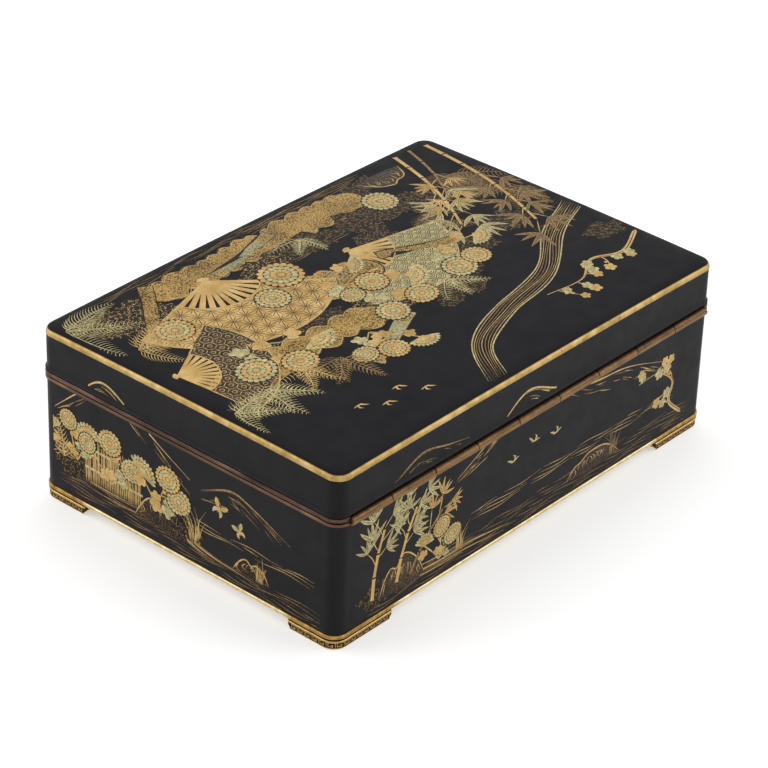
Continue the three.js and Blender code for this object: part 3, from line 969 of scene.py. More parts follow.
def hemp(low, high, pitch):
    """Six-pointed stars of straight lines, like hemp leaves."""
    runs = []
    for x, y in grid(low, high, pitch, pitch * TRIANGLE):
        for k in range(6):
            turn = math.pi / 3 * k
            heart = (x + pitch * HEXAGON * math.cos(turn + math.pi / 6),
                     y + pitch * HEXAGON * math.sin(turn + math.pi / 6))
            runs.append(np.linspace((x, y), heart, 4))
            if k < 3:
                spoke = (x + pitch * math.cos(turn), y + pitch * math.sin(turn))
                runs.append(np.linspace((x, y), spoke, 5))
    return runs


def hexagons(low, high, pitch):
    """Hexagons with a small ring in each."""
    runs = []
    side = pitch * HEXAGON
    for x, y in grid(low, high, pitch, pitch * TRIANGLE):
        turns = [math.pi / 3 * k for k in range(4)]
        corners = [(x + side * math.sin(t), y + side * math.cos(t)) for t in turns]
        runs += [np.linspace(a, b, 4) for a, b in zip(corners, corners[1:])]
        runs.append(arc(x, y, pitch * 0.2, 0, 2 * math.pi, 7))
    return runs


def pattern(d, polygon, kind, pitch, metal, width, above):
    """Fills a polygon with a pattern."""
    runs = kind(np.min(polygon, axis=0), np.max(polygon, axis=0), pitch)
    held = contains(polygon, np.concatenate(runs))
    start = 0
    for run in runs:
        for part in stretches(held[start:start + len(run)]):
            d.even(run[part], width, metal, above)
        start += len(run)


# Motifs, all of them old and common ones

LEAFLET_PITCH = 1.1  # of a fern
LEAFLET_WIDTH = 0.22
MOSS_PITCH = 1.05  # from hook to hook
SLIP_EDGE = 0.25  # dark edge of a paper slip
SLIP_BORDER = 0.8  # from the slip's end to its border line


def petal(inner, outer, half):
    """The outline of a petal that points along +u."""
    side = [(inner + (outer - inner) * t, half * wide)
            for t, wide in ((0, 0.3), (0.45, 0.8), (0.8, 1), (0.95, 0.6))]
    return np.array([*side, (outer, 0), *((u, -v) for u, v in reversed(side))])


def bloom(d, u, v, radius, turn, squash=1.0, metals=("gold_leaf", "pale")):
    """A chrysanthemum of three rows of petals."""
    place = Local(u, v, turn, radius, squash)
    d.fill(place(disc(0, 0, 1 + 0.2 / radius, 32)), "engraved", 0)
    d.next(1)
    for row, count in enumerate((19, 16, 13)):
        outer = 1 - 0.27 * row
        if row:
            d.fill(place(disc(0, 0, outer * 1.03, 24)), "engraved", row * 2 - 1)
        shape = petal(0.4 * outer, outer, math.pi * outer / count * 0.82)
        for k in range(count):
            d.fill(place(Local(0, 0, 360 * (k + row * 0.5) / count)(shape)), metals[row % 2], row * 2)
    d.fill(place(disc(0, 0, 0.17, 9)), "gold", 6)
    d.next(7)


def side_bloom(d, u, v, radius, turn, metals):
    """A chrysanthemum seen from the side, with its petals fanned upwards."""
    place = Local(u, v, turn, radius, 0.9)
    for row, (count, outer, span) in enumerate(((11, 1.0, 72), (8, 0.74, 55), (5, 0.48, 35))):
        shape = petal(0.1, outer, math.radians(span) * outer / count * 0.92)
        for k in range(count):
            turned = Local(0, 0, 90 + span * (2 * k / (count - 1) - 1))(shape)
            if row:
                d.fill(place(turned * 1.07), "engraved", row * 2 - 1)
            d.fill(place(turned), metals[row % 2], row * 2)
    d.fill(place([(0.26, 0.1), (0, 0.2), (-0.26, 0.1), (-0.14, -0.08), (0.14, -0.08)]), "gold_leaf", 6)
    d.next(7)


def lobed_leaf(d, u, v, length, turn, metal):
    """A chrysanthemum leaf of five lobes with engraved veins."""
    place = Local(u, v, turn, length)
    shape = [(0, 0)]
    for k in range(33):
        angle = math.pi * (k / 16 - 1) * 0.86
        reach = 0.3 + 0.26 * abs(math.cos(2.5 * angle)) ** 0.8 + 0.1 * math.cos(angle)
        shape.append((0.42 + reach * math.cos(angle), 0.8 * reach * math.sin(angle)))
    middle = np.array((0.42, 0))
    d.fill(place((np.array(shape) - middle) * (1 + 0.28 / length) + middle), "engraved", 0)
    d.fill(place(shape), metal, 1)
    for tip in ((0.98, 0), (0.72, 0.36), (0.72, -0.36), (0.34, 0.32), (0.34, -0.32)):
        d.line(place([(0.1 + tip[0] * 0.25, 0), tip]), 0.19, "engraved", 2, (0.01, 0.6), smooth=False)
    d.next(2)


def long_leaf(d, u, v, length, turn, metal, bend):
    """A bamboo leaf with an engraved spine."""
    place = Local(u, v, turn, length)
    upper, lower = [], []
    for t in (0.05, 0.2, 0.38, 0.58, 0.8):
        middle = bend * math.sin(math.pi * t)
        half = 0.085 * math.sin(math.pi * t ** 0.75) ** 0.85
        upper.append((t, middle + half))
        lower.append((t, middle - half))
    d.fill(place([(0, 0), *lower, (1, 0), *reversed(upper)]), metal, 0)
    spine = [(t, bend * math.sin(math.pi * t)) for t in (0.08, 0.4, 0.85)]
    d.line(place(spine), 0.16, "engraved", 1, (0.01, 0.4))
    d.next(1)


def bamboo(d, root, tip, width, metal, leaf, sprays, leaf_size):
    """A jointed stem with sprays of leaves on its upper part."""
    root = np.array(root, float)
    along = tip - root
    length = np.linalg.norm(along)
    side = np.array((-along[1], along[0])) / length
    joints = max(3, int(length / 7))

    def stem(t):
        return root + along * t + side * length * 0.05 * math.sin(math.pi * t)

    for k in range(joints):
        a, b = stem(k / joints), stem((k + 0.93) / joints)
        half = side * width * (1 - 0.45 * k / joints) / 2
        profile = ((0, 1.25), (0.12, 1), (0.88, 1), (1, 1.25))
        edge = [a + (b - a) * t + half * wide for t, wide in profile]
        d.fill(edge + [a + (b - a) * t - half * wide for t, wide in reversed(profile)], metal, 0)
    heading = math.degrees(math.atan2(along[1], along[0]))
    for k in range(sprays):
        start = stem(1 - 0.62 * k / sprays)
        way = heading + (38 if k % 2 else -38) + d.sway(10)
        end = away(*start, way, d.rng.uniform(3.5, 7.5))
        d.line([start, (start + end) / 2 + d.sway(0.5), end], 0.28, "gold", 0, (0.25, 0.25))
        for j in range(5):
            size = leaf_size * d.rng.uniform(0.75, 1.1)
            leaf_way = way - 25 + (j - 2) * 27 + d.sway(7)
            long_leaf(d, *end, size, leaf_way, leaf, d.sway(0.06))
    d.next(2)


def fern(d, u, v, length, turn, metal, fronds=5):
    """Fronds that fan out from one root, each a stem with leaflets down both sides."""
    leaflets = int(length / LEAFLET_PITCH)
    for frond in range(fronds):
        lean = (frond - (fronds - 1) / 2) * 24
        size = length * d.rng.uniform(0.75, 1.05)
        place = Local(u, v, turn + lean + d.sway(6), size)
        bend = 0.15 if frond % 2 else -0.15
        spine = [(t, bend * math.sin(math.pi * 0.6 * t)) for t in (0, 0.3, 0.6, 1)]
        d.line(place(spine), LEAFLET_WIDTH * 1.2, metal, 0, (0.02, 0.3))
        for k in range(1, leaflets):
            t = k / leaflets
            reach = 0.3 * (1 - t) ** 0.75 * (0.55 + 0.45 * min(1, t * 6))
            x, y = t, bend * math.sin(math.pi * 0.6 * t)
            for sign in (-1, 1):
                leaflet = [(x, y), (x + reach * 0.2, y + sign * reach * 0.55),
                           (x + reach * 0.62, y + sign * reach)]
                d.line(place(leaflet), LEAFLET_WIDTH, metal, 0, (0.01, 0.5), step=1.2)
        d.next(1)


def grass(d, u, v, count, height, metal="gold"):
    for k in range(count):
        tall = height * d.rng.uniform(0.5, 1)
        drift = d.rng.gauss(0, 0.25) * tall
        foot_u = u + d.sway(0.16) * height
        blade = [(foot_u, v), (foot_u + drift * 0.3, v + tall * 0.6), (foot_u + drift, v + tall)]
        d.line(blade, 0.24, metal, k % 4, (0.02, 0.6), step=1.6)
    d.next(4)


def broken_lines(d, u0, u1, v, rows, gap, metal="copper", width=0.2, slope=0.0):
    """Broken strokes that lie over each other like a bank or a sheet of water."""
    for row in range(rows):
        start = u0 + d.rng.uniform(0, 6)
        while start < u1:
            end = min(u1, start + d.rng.uniform(5, 20))
            height = v - row * gap + d.sway(0.15)
            points = [(x, height + slope * (x - u0) + 0.35 * math.sin(x * 0.35 + row))
                      for x in np.linspace(start, end, max(3, int((end - start) / 2.5)))]
            d.line(points, width, metal, row % 2, (0.3, 0.5), step=1.6)
            start = end + d.rng.uniform(1, 5)
    d.next(2)


def moss(d, u, v, width, height, metal="copper", lean=0):
    """A rounded clump of moss, filled with small hooked strokes."""
    turn = d.sway(lean) if lean else 0
    bumps = [(0.5 + 0.09 * math.sin(5 * t + u) + 0.05 * math.sin(9 * t), t) for t in np.linspace(0, 6.1, 26)]
    shape = Local(u, v, turn, width, height / width)([(r * math.cos(t), r * math.sin(t)) for r, t in bumps])
    d.fill(shape, "engraved", 0)
    d.next(1)
    rows = [np.arange(np.min(shape[:, k]), np.max(shape[:, k]), MOSS_PITCH) for k in range(2)]
    spots = [(x + d.sway(0.4) * MOSS_PITCH, y + d.sway(0.4) * MOSS_PITCH) for x in rows[0] for y in rows[1]]
    for (x, y), held in zip(spots, contains(shape, spots)):
        turn = d.rng.uniform(0, 2 * math.pi)
        if held:
            d.line(arc(x, y, 0.55, turn, turn + 2.6, 4), 0.18, metal, 0, (0.1, 0.4), smooth=False)
    d.next(1)


def fan(d, u, v, radius, turn, kind, sheet, spread, pitch, line="engraved"):
    """An open folding fan: a leaf with a brocade pattern, bare ribs and a rivet."""
    place = Local(u, v, turn, radius)
    start, stop = math.radians(90 - spread), math.radians(90 + spread)
    leaf = place(np.concatenate([arc(0, 0, 1, start, stop, 25), arc(0, 0, 0.42, stop, start, 25)]))
    ribs = [Local(0, 0, angle) for angle in np.linspace(90 - spread + 3, 90 + spread - 3, 11)]
    for rib in ribs:
        d.fill(place(rib([(-0.06, 0.012), (-0.06, -0.012), (0.45, -0.026), (0.45, 0.026)])), "gold_leaf", 0)
    d.fill(leaf, sheet, 1)
    pattern(d, leaf, kind, pitch, line, 0.22, 2)
    for rib in ribs:
        d.even(place(rib([(0.43, 0), (0.7, 0), (0.985, 0)])), 0.18, "copper", 3)
    d.edging(leaf, 0.4, "gold", 4)
    d.dot(u, v, 0.5, "gold", 4)
    d.next(5)


def slip(d, u, v, length, width, turn, sheet="pale_sheet", line="gold"):
    """A long paper slip with a border and a band of gold dust at each end."""
    place = Local(u, v, turn)

    def inset(by):
        return place(bar(by, length - by, by, width - by))

    d.fill(inset(0), "engraved", 0)
    d.fill(inset(SLIP_EDGE), sheet, 1)
    d.edging(inset(SLIP_BORDER), 0.22, line, 2)
    for start, stop in ((SLIP_BORDER, length * 0.2), (length * 0.84, length - SLIP_BORDER)):
        d.fill(place(bar(start, stop, SLIP_BORDER, width - SLIP_BORDER)), "gold_sheet", 2)
    d.next(3)


def cloud(d, left, right, low, high, lobe=5.5, turn=0.0):
    """A bank of cloud with a scalloped outline, as on painted screens."""
    points = []
    middle, half = (low + high) / 2, (high - low) / 2

    def side(start, end, base, sign):
        """One long side in scallops, and the round end after it."""
        x, level = start, base
        way = 1 if end > start else -1
        while (end - x) * way > 0.1:
            width = min(abs(end - x), lobe * d.rng.uniform(0.7, 1.35))
            if abs(end - x) - width < lobe * 0.4:
                width = abs(end - x)
            after = base + d.sway(0.14) * (high - low)
            for t in np.arange(7) / 7:
                swell = sign * width * 0.3 * math.sin(math.pi * t)
                points.append((x + way * width * t, level + (after - level) * t + swell))
            level = after
            x += way * width
        for t in np.linspace(-1.2, 1.2, 7):
            points.append((end + way * half * math.cos(t) * 0.9, middle + way * half * math.sin(t)))

    side(left, right, low, -1)
    side(right, left, high, 1)
    centre = ((left + right) / 2, middle)
    outside = Local(*centre, turn)(np.array(points) - centre)
    inside = Local(*centre, turn, 0.965, 0.94)(np.array(points) - centre)
    d.fill(outside, "gold_sheet", 0)
    d.edging(outside, 0.42, "engraved", 1)
    d.edging(inside, 0.24, "gold", 2)
    d.next(3)


def rock(d, u, v, width, height):
    def crest(t, share):
        return v + height * share * math.sin(math.pi * t) ** 0.6

    crown = [(u + width * (k / 8 - 0.5), crest(k / 8, d.rng.uniform(0.7, 1.05))) for k in range(9)]
    ridge = curve(crown, 0.9)
    foot_points = [(u + width * 0.2, v - height * 0.1), (u - width * 0.25, v - height * 0.07)]
    d.fill([*ridge, *foot_points], "copper_sheet", 0)
    d.line(ridge, 0.4, "gold", 2, (0.1, 0.15), smooth=False)
    for _ in range(int(width / 1.5)):
        t = d.rng.uniform(0.12, 0.88)
        x, top = u + width * (t - 0.5), crest(t, 0.72)
        drop = height * d.rng.uniform(0.2, 0.5)
        crack = [(x, top), (x + d.sway(1.2), top - drop * 0.5), (x + d.sway(1), top - drop)]
        d.line(crack, 0.24, "gold", 2, (0.15, 0.6))
    d.next(3)


def blossom(d, u, v, radius, turn, metal):
    side = [(0.12, 0), (0.35, -0.3), (0.7, -0.4), (0.95, -0.22), (1.0, 0)]
    shape = [side[0], *((x, -y) for x, y in side[1:4]), side[4], *reversed(side[1:4])]
    for k in range(5):
        place = Local(u, v, turn + 72 * k, radius)
        d.fill(place(shape[::-1]), metal, 0)
        d.line(place([(0.1, 0), (0.5, 0)]), 0.14, "engraved", 1, (0.01, 0.3), smooth=False)
    d.dot(u, v, radius * 0.17, "gold", 2)


def plum(d, points, width, twigs, size):
    """A crooked branch with twigs, blossoms and buds."""
    run = curve(points, 1.2)
    d.line(run, width, "gold_leaf", 0, (0.02, 0.75), smooth=False)
    d.line(run + (0.12, 0.1), width * 0.2, "engraved", 1, (0.05, 0.8), smooth=False)
    spots = []
    for k in range(twigs):
        i = int(len(run) * (0.18 + 0.8 * (k + d.rng.uniform(0.1, 0.7)) / twigs))
        base = run[min(i, len(run) - 1)]
        way = 90 + d.rng.choice((-1, 1)) * d.rng.uniform(15, 75)
        tip = away(*base, way, d.rng.uniform(2.5, 7.5))
        bend = (base + tip) / 2 + (d.sway(0.6), 0.4)
        d.line([base, bend, tip], width * 0.28, "gold_leaf", 0, (0.02, 0.6))
        spots += [tip, base * 0.45 + tip * 0.55]
    d.next(2)
    for k, spot in enumerate(spots):
        if k % 3 == 2:
            d.dot(*spot, size * 0.3, "gold", 2)
        else:
            metal = "pale" if k % 2 else "gold_leaf"
            blossom(d, *spot, size * d.rng.uniform(0.8, 1.1), d.rng.uniform(0, 72), metal)
        d.next(3)


def goose(d, u, v, size, lean, metal):
    place = Local(u, v, d.sway(lean), size)
    body = [(-0.5, 0.02), (-0.2, -0.06), (0.2, -0.1), (0.6, 0), (1.0, 0.12), (0.8, 0.2), (0.35, 0.1),
            (-0.1, 0.12)]
    far_wing = [(-0.05, 0.06), (-0.4, 0.45), (-0.95, 0.7), (-0.7, 0.35), (-0.3, 0.05)]
    near_wing = [(0.15, 0.06), (0.25, 0.5), (0.05, 0.85), (0.5, 0.55), (0.42, 0.1)]
    for shape, above in ((body, 1), (far_wing, 0), (near_wing, 2)):
        d.fill(place(shape), metal, above)
    d.next(3)


def butterfly(d, u, v, size, turn, metals=("gold_leaf", "pale")):
    upper = [(0.02, 0.03), (0.2, 0.02), (0.55, 0.2), (0.8, 0.5), (0.82, 0.86), (0.5, 0.85), (0.2, 0.5)]
    lower = [(0.02, -0.02), (0.12, -0.3), (0.32, -0.5), (0.42, -0.8), (0.6, -0.5), (0.55, -0.15), (0.3, 0)]
    body = [(0, 0.36), (-0.06, 0.2), (-0.05, -0.3), (0, -0.45), (0.05, -0.3), (0.06, 0.2)]
    place = Local(u, v, turn, size)
    for flip in ((1, 1), (-1, 1)):
        d.fill(place(np.array(upper) * flip), metals[0], 0)
        d.fill(place(np.array(lower) * flip), metals[1], 0)
        for tip in ((0.5, 0.62), (0.62, 0.5), (0.4, -0.4)):
            vein = np.array([(0.1, 0.05), tip]) * flip
            d.line(place(vein), 0.15, "engraved", 1, (0.01, 0.5), smooth=False)
        d.line(place(np.array([(0, 0.3), (0.14, 0.6), (0.34, 0.78)]) * flip), 0.14, "gold", 1, (0.25, 0.25))
    d.fill(place(body), "gold", 2)
    d.next(3)


def brush_fence(d, left, right, low, high):
    """A fence of upright brushwood, tied with two bands."""
    place = Local(left, low)
    wide, tall = right - left, high - low
    d.fill(place(bar(0, wide, 0, tall - 0.8)), "copper_sheet", 0)
    x = 0.0
    while x < wide:
        top = tall + d.rng.uniform(-0.9, 0.7)
        stick = [(x, d.sway(0.3)), (x + d.sway(0.25), top / 2), (x + d.sway(0.3), top)]
        d.line(place(stick), 0.3, "gold_leaf", 1, (0.02, 0.2), step=2)
        x += d.rng.uniform(0.5, 0.75)
    for y in (tall * 0.3, tall * 0.74):
        d.fill(place(bar(-0.4, wide + 0.4, y - 0.34, y + 0.34)), "pale", 2)
        for x in np.arange(1.4, wide, 2.1):
            d.even(place([(x - 0.25, y - 0.4), (x + 0.25, y + 0.4)]), 0.18, "engraved", 3)
    d.next(4)


def flowers(d, u, v, size, turn=0.0):
    """Three chrysanthemums on their stems, with leaves."""
    root = np.array((u, v))
    spots = []
    for k in range(3):
        way = 90 + turn + (k - 1) * 42 + d.sway(8)
        spots.append(away(u, v, way, size * d.rng.uniform(1.5, 2.4)))
        bend = root * 0.55 + spots[-1] * 0.45 + d.sway(0.5)
        d.line([root, bend, spots[-1]], 0.36, "gold", 0, EVEN)
    d.next(1)
    for k in range(6):
        spot = root + (spots[k % 3] - root) * (0.3 + 0.4 * (k // 3)) + d.sway(0.1) * size
        way = 90 + turn + (100 if k % 2 else -100) + d.sway(35)
        lobed_leaf(d, *spot, size * d.rng.uniform(0.55, 0.75), way, "gold_leaf" if k % 3 else "pale")
    for k, spot in enumerate(spots):
        metals = ("gold_leaf", "pale") if k % 2 else ("pale", "gold_leaf")
        if k == 2:
            side_bloom(d, *spot, size * 0.85, turn + d.sway(25), metals)
        else:
            radius = size * d.rng.uniform(0.62, 0.8)
            bloom(d, *spot, radius, d.rng.uniform(0, 20), d.rng.uniform(0.8, 1), metals)


def stream(d, points, width):
    """A winding stream, drawn as many lines that run side by side."""
    run = curve(points, 1.5)
    for k in range(9):
        bank_line = k in (0, 8)
        drift = np.sin(np.arange(len(run)) * 0.35 + k)[:, None] * 0.16
        metal = "pale" if bank_line else "gold" if k % 3 == 1 else "copper"
        path = run + side_of(run) * (width * (k / 8 - 0.5) + drift)
        d.line(path, 0.36 if bank_line else 0.2, metal, 0, (0.05, 0.1))
    d.next(2)


def bank(d, points):
    """A shore: strokes of gold, one beside the other, that thin towards both ends."""
    run = curve(points, 1.4)
    for k in range(7):
        start = d.rng.randrange(0, len(run) // 2)
        part = run[start:start + d.rng.randrange(len(run) // 4, len(run) // 2)] + (0, 0.5 * (k - 3))
        metal = ("gold", "gold_leaf", "copper")[k % 3]
        d.line(part, d.rng.uniform(0.22, 0.5), metal, k % 3, (0.4, 0.4), smooth=False)
    d.next(3)


def hills(d, points, metal="gold"):
    """A far hill: its crest, and broken strokes that follow its slopes."""
    crest = curve(points, 1.0)
    d.line(crest, 0.5, metal, 2, (0.35, 0.35), smooth=False)
    d.line(crest[: len(crest) // 2] - (0.35, 0.45), 0.24, metal, 0, (0.3, 0.5), smooth=False)
    for k in range(len(crest) // 2):
        start = d.rng.randrange(0, max(1, len(crest) - 6))
        part = crest[start:start + d.rng.randrange(4, 10)]
        sunk = d.rng.uniform(0.7, 3.6)
        fall = np.column_stack([np.zeros(len(part)), np.linspace(0, d.rng.uniform(0.2, 1.4), len(part))])
        width = d.rng.uniform(0.16, 0.26)
        d.line(part - (0, sunk) - fall, width, metal if k % 3 else "copper", k % 2, (0.3, 0.6), smooth=False)
    d.next(3)


# The lid: two screens of brocade fans, cloud banks and chrysanthemums, with a bamboo shore beyond

SWAPPED = ("pale", "gold_leaf")
LID_DESIGN = (
    # Far shore and water at the left
    (broken_lines, *((u, u + span, v, 5, 0.7, "copper", 0.2, 0.02) for u, v, span in (
        (-71, -14, 30), (-71, 2, 24), (-70, 10, 18), (-44, -46, 50), (-40, -40, 36), (-36, 8, 24)))),
    (stream, ([(-72, 4), (-54, 12), (-36, 24), (-14, 29), (4, 36), (14, 50)], 5.5)),
    (moss, *((*place, "copper", 20) for place in (
        (-60, -22, 17, 11), (-42, -26, 16, 12), (-66, 20, 13, 8), (-50, -2, 15, 9), (-34, 2, 16, 9),
        (-36, -42, 18, 7)))),
    (fern, (-62, -30, 19, 70, "copper", 6), (-70, -12, 16, 40, "copper")),
    (plum, ([(-72, 26), (-60, 31), (-50, 28), (-40, 33), (-27, 32)], 1.3, 9, 1.8)),
    (bamboo,
        ((-70, -47), (-57, 4), 1.3, "gold_leaf", "copper", 8, 8),
        ((-58, -48), (-40, -8), 1.2, "gold_leaf", "pale", 8, 7.5),
        ((-64, -48), (-49, -20), 0.9, "copper", "gold_leaf", 6, 6)),
    (rock, (-46, -44, 17, 8)),
    # Fans and cloud banks, the heart of the design
    (broken_lines, (-20, 34, -27, 7, 0.75, "copper", 0.22, 0.03)),
    (cloud, (-30, 42, -44, -35)),
    (moss, *((*place, 15) for place in (
        (-24, -29, 22, 13, "copper"), (-14, 12, 24, 13, "copper"), (56, -36, 22, 16, "gold"),
        (-2, -31, 24, 10, "copper"), (14, -30, 16, 9, "gold"), (26, 0, 22, 9, "copper"),
        (-18, -18, 15, 12, "copper"), (38, 3, 17, 10, "gold"), (8, 6, 20, 12, "gold"),
        (60, 12, 20, 9, "copper")))),
    (fern, (-30, -14, 17, 168, "copper"), (-4, -34, 12, 60, "pale")),
    (broken_lines, (-34, 60, -46.5, 4, 0.7)),
    (fan, (-8, -20, 29, 22, waves, "pale", 58, 3.4)),
    (cloud, (-4, 32, -17, -7, 6, -6)),
    (slip, (2, -16, 28, 4.6, 12)),
    (fan, (30, -36, 34, -14, hemp, "gold_leaf", 60, 4.6)),
    (cloud, (12, 64, 1, 9, 6, -4)),
    (slip, (6, 10, 27, 4.8, 24), (-34, -6, 24, 4.4, -22, "gold_sheet", "pale"), (0, -44, 27, 4.4, 13)),
    (fan, (68, -8, 25, 62, hexagons, "copper_sheet", 58, 3.2, "gold")),
    (slip, (44, -47, 24, 4.4, 52, "gold_sheet", "pale")),
    # Flowers over them
    (flowers, (46, -6, 7.5, 10), (4, -6, 7.5, 25), (-24, -4, 6.5, 40), (20, 12, 6, -12), (12, -12, 6, 55)),
    (bloom, (14, -24, 6.4, 8), (24.5, -17, 4.8, 3, 1, SWAPPED), (-35, -33, 5.2, 6, 1, SWAPPED),
        (53, -24, 5.2, 6)),
    # Fronds and geese at the near edge
    (fern, (71, 14, 15, 150, "pale"), (66, -24, 17, 172, "gold"), (72, -44, 20, 150, "pale"),
        (34, 15, 14, 60, "copper"), (58, 12, 15, 96, "pale"), (44, 11, 13, 70, "gold"),
        (-14, 8, 13, 100, "pale")),
    (goose, *((*place, 2.2, 15, "gold") for place in ((34, 34), (41, 37), (29, 39), (47, 33)))),
)

# The four sides, whose drawings go on over the seam from the base to the lid. u runs from left to
# right as seen from outside, and v is the height. Each has its seed, its half width and its design.

SIDES = {
    "right": (23, 46.9, (
        (hills, ([(-46, 29), (-38, 36), (-29, 43), (-19, 39), (-8, 33), (2, 28)],),
            ([(6, 27), (16, 31), (24, 29), (36, 24)], "copper")),
        (broken_lines, (-46, 46, 10.5, 6, 0.85, "copper", 0.2, -0.02), (2, 44, 17, 3, 0.8, "gold", 0.18)),
        (bank, [[(-46, 12), (-34, 10), (-18, 10), (-4, 12), (8, 9), (26, 7.5), (44, 5.5)]]),
        (moss, (-40, 14, 13, 8)),
        (fern, (-43, 15, 12, 100, "gold", 4)),
        (brush_fence, (-35, -15, 11.5, 25)),
        (rock, (-8, 9, 19, 10)),
        (flowers, (-26, 14, 6, -6), (-10, 14, 6.4, -16), (-38, 16, 5, 12)),
        (moss, (1, 13, 11, 5)),
        (grass, (4, 10, 14, 11)),
        (rock, (23, 9, 12, 4.5)),
        (grass, (26, 8.5, 12, 8)),
        (butterfly, (12, 24, 2.9, -25), (19, 20.5, 2.4, 30, SWAPPED)),
    )),
    "back": (37, 69.9, (
        (hills, ([(-30, 30), (-16, 37), (-4, 44), (8, 40), (22, 35), (38, 33), (54, 28)],),
            ([(-54, 40), (-44, 44), (-34, 42), (-26, 40.5)], "copper")),
        (broken_lines, (-66, 66, 10.5, 7, 0.9), (-26, 60, 17, 4, 0.8, "gold", 0.18)),
        (bank, [[(-69, 9), (-56, 12), (-42, 9), (-24, 8), (-6, 6), (12, 5.5)]]),
        (moss, (-58, 10, 16, 7)),
        (rock, (-50, 8, 17, 9)),
        (bamboo,
            ((-61, 9), (-57, 28.5), 1.2, "gold_leaf", "pale", 6, 6),
            ((-52, 10), (-45, 29.5), 1.1, "gold_leaf", "pale", 7, 6),
            ((-47, 10), (-35, 24), 0.9, "copper", "gold_leaf", 5, 5)),
        (flowers, (-36, 9, 4.6, -8)),
        (grass, (-28, 8, 12, 9)),
        (rock, (26, 8, 22, 5.5)),
        (grass, (34, 8, 14, 9, "copper")),
        (plum, ([(64, 8), (58, 14), (59, 20), (52, 25), (44, 25)], 1.1, 7, 1.7)),
        (goose, *((*place, 2.4, 12, "pale") for place in ((-8, 25), (0, 27.5), (9, 26)))),
    )),
    "front": (41, 69.9, (
        (hills, ([(-64, 27), (-48, 35), (-32, 43), (-16, 38), (2, 31)],),
            ([(14, 41), (26, 45), (38, 43), (50, 40.5)], "copper")),
        (broken_lines, (-64, 66, 10.5, 7, 0.9), (-30, 16, 17.5, 4, 0.8, "gold", 0.18)),
        (bank, [[(69, 10), (56, 12), (38, 10), (20, 8), (2, 6)]]),
        (rock, (-44, 8, 22, 9)),
        (brush_fence, (26, 56, 11, 24)),
        (flowers, (32, 13, 6, 10), (50, 13, 5.6, -10), (62, 11, 4.6, -6)),
        (plum, ([(-62, 9), (-54, 16), (-48, 22), (-36, 25), (-24, 30)], 1.5, 11, 1.9)),
        (fern, (-30, 10, 13, 80, "pale")),
        (grass, (8, 8, 16, 12)),
        (goose, *((*place, 2.4, 12, "gold") for place in ((-2, 26), (7, 28)))),
    )),
    "left": (59, 46.9, (
        (hills, [[(-20, 31), (-8, 38), (4, 44), (18, 38), (34, 30)]]),
        (broken_lines, (-45, 45, 10.5, 7, 0.9), (-8, 40, 17.5, 3, 0.8, "gold", 0.18)),
        (bank, [[(-46, 11), (-32, 12), (-16, 9), (2, 7), (20, 6)]]),
        (rock, (-27, 9, 19, 9)),
        (bamboo,
            ((-39, 10), (-34, 28.5), 1.2, "gold_leaf", "pale", 6, 6),
            ((-29, 11), (-20, 27.5), 1.0, "gold_leaf", "pale", 6, 5.4)),
        (flowers, (22, 9, 5.6)),
        (grass, (28, 8, 14, 10)),
        (butterfly, (6, 25, 2.8, 20)),
    )),
}

LID_MARGIN = 1.8  # of plain iron inside the lid's outline
UNDER_HINGE = 35.2  # where the drawing on the hinge's side ends, below the tubes
LID_SIDE_LOW, LID_SIDE_HIGH = 39.95, 48.5

lid_reach = np.array((HALF_LENGTH, HALF_WIDTH)) - LID_MARGIN
Drawing("lid", 11, [("lid", (*-lid_reach, *lid_reach), lid_place)]).draw(LID_DESIGN)
for side_name, (seed, half, design) in SIDES.items():
    side_place = wall_place(side_name)
    base_top = UNDER_HINGE if side_name == "back" else BASE_WALL_TOP - 0.15
    Drawing(side_name, seed, [
        ("base", (-half, RAIL_TOP + 0.1, half, base_top), side_place),
        ("lid", (-half, LID_SIDE_LOW, half, LID_SIDE_HIGH), side_place),
    ]).draw(design)


# The feet's fret: a running key pattern of raised wire on the dark ground

FRET_UNIT = 2.36
FRET = ((0.0, 0.0), (0.0, 1.0), (0.8, 1.0), (0.8, 0.28), (0.3, 0.28), (0.3, 0.62), (0.52, 0.62))
FRET_MARGIN = 1.2  # shared by the two ends of a foot
FRET_LOW, FRET_HIGH = GROUND_LOW + 0.2, GROUND_HIGH - 0.24
FRET_BORDER = 0.13  # from the fret to the wire above or below it


def fret(side, face, sx, sy):
    """A foot's fret follows its outer face, from the long side round the corner."""
    path = np.array(foot_path(0.08))
    lengths = lengths_along(path)
    total = lengths[-1]
    outward = side_of(path)

    def place(u, v, lift):
        x, y = (np.interp(u, lengths, path[:, k]) for k in range(2))
        nx, ny = (np.interp(u, lengths, outward[:, k]) for k in range(2))
        return np.column_stack([sx * (x + nx * lift * 3), sy * (y + ny * lift * 3), v])

    d = Drawing(f"foot_{face}_{side}", 0, [("base", (0.3, 0.1, total - 0.3, RAIL_BOTTOM), place)])
    count = int((total - FRET_MARGIN) / FRET_UNIT)
    start = (total - count * FRET_UNIT) / 2
    for k in range(count):
        key = [(start + (k + x) * FRET_UNIT, FRET_LOW + y * (FRET_HIGH - FRET_LOW)) for x, y in FRET]
        d.even(key, 0.27, "gold", 1)
    for v in (FRET_LOW - FRET_BORDER, FRET_HIGH + FRET_BORDER):
        d.even(np.column_stack([np.linspace(0.5, total - 0.5, 60), np.full(60, v)]), 0.16, "gold", 1)
    d.finish()


for values in FEET:
    fret(*values)


# Stage, lamps and camera

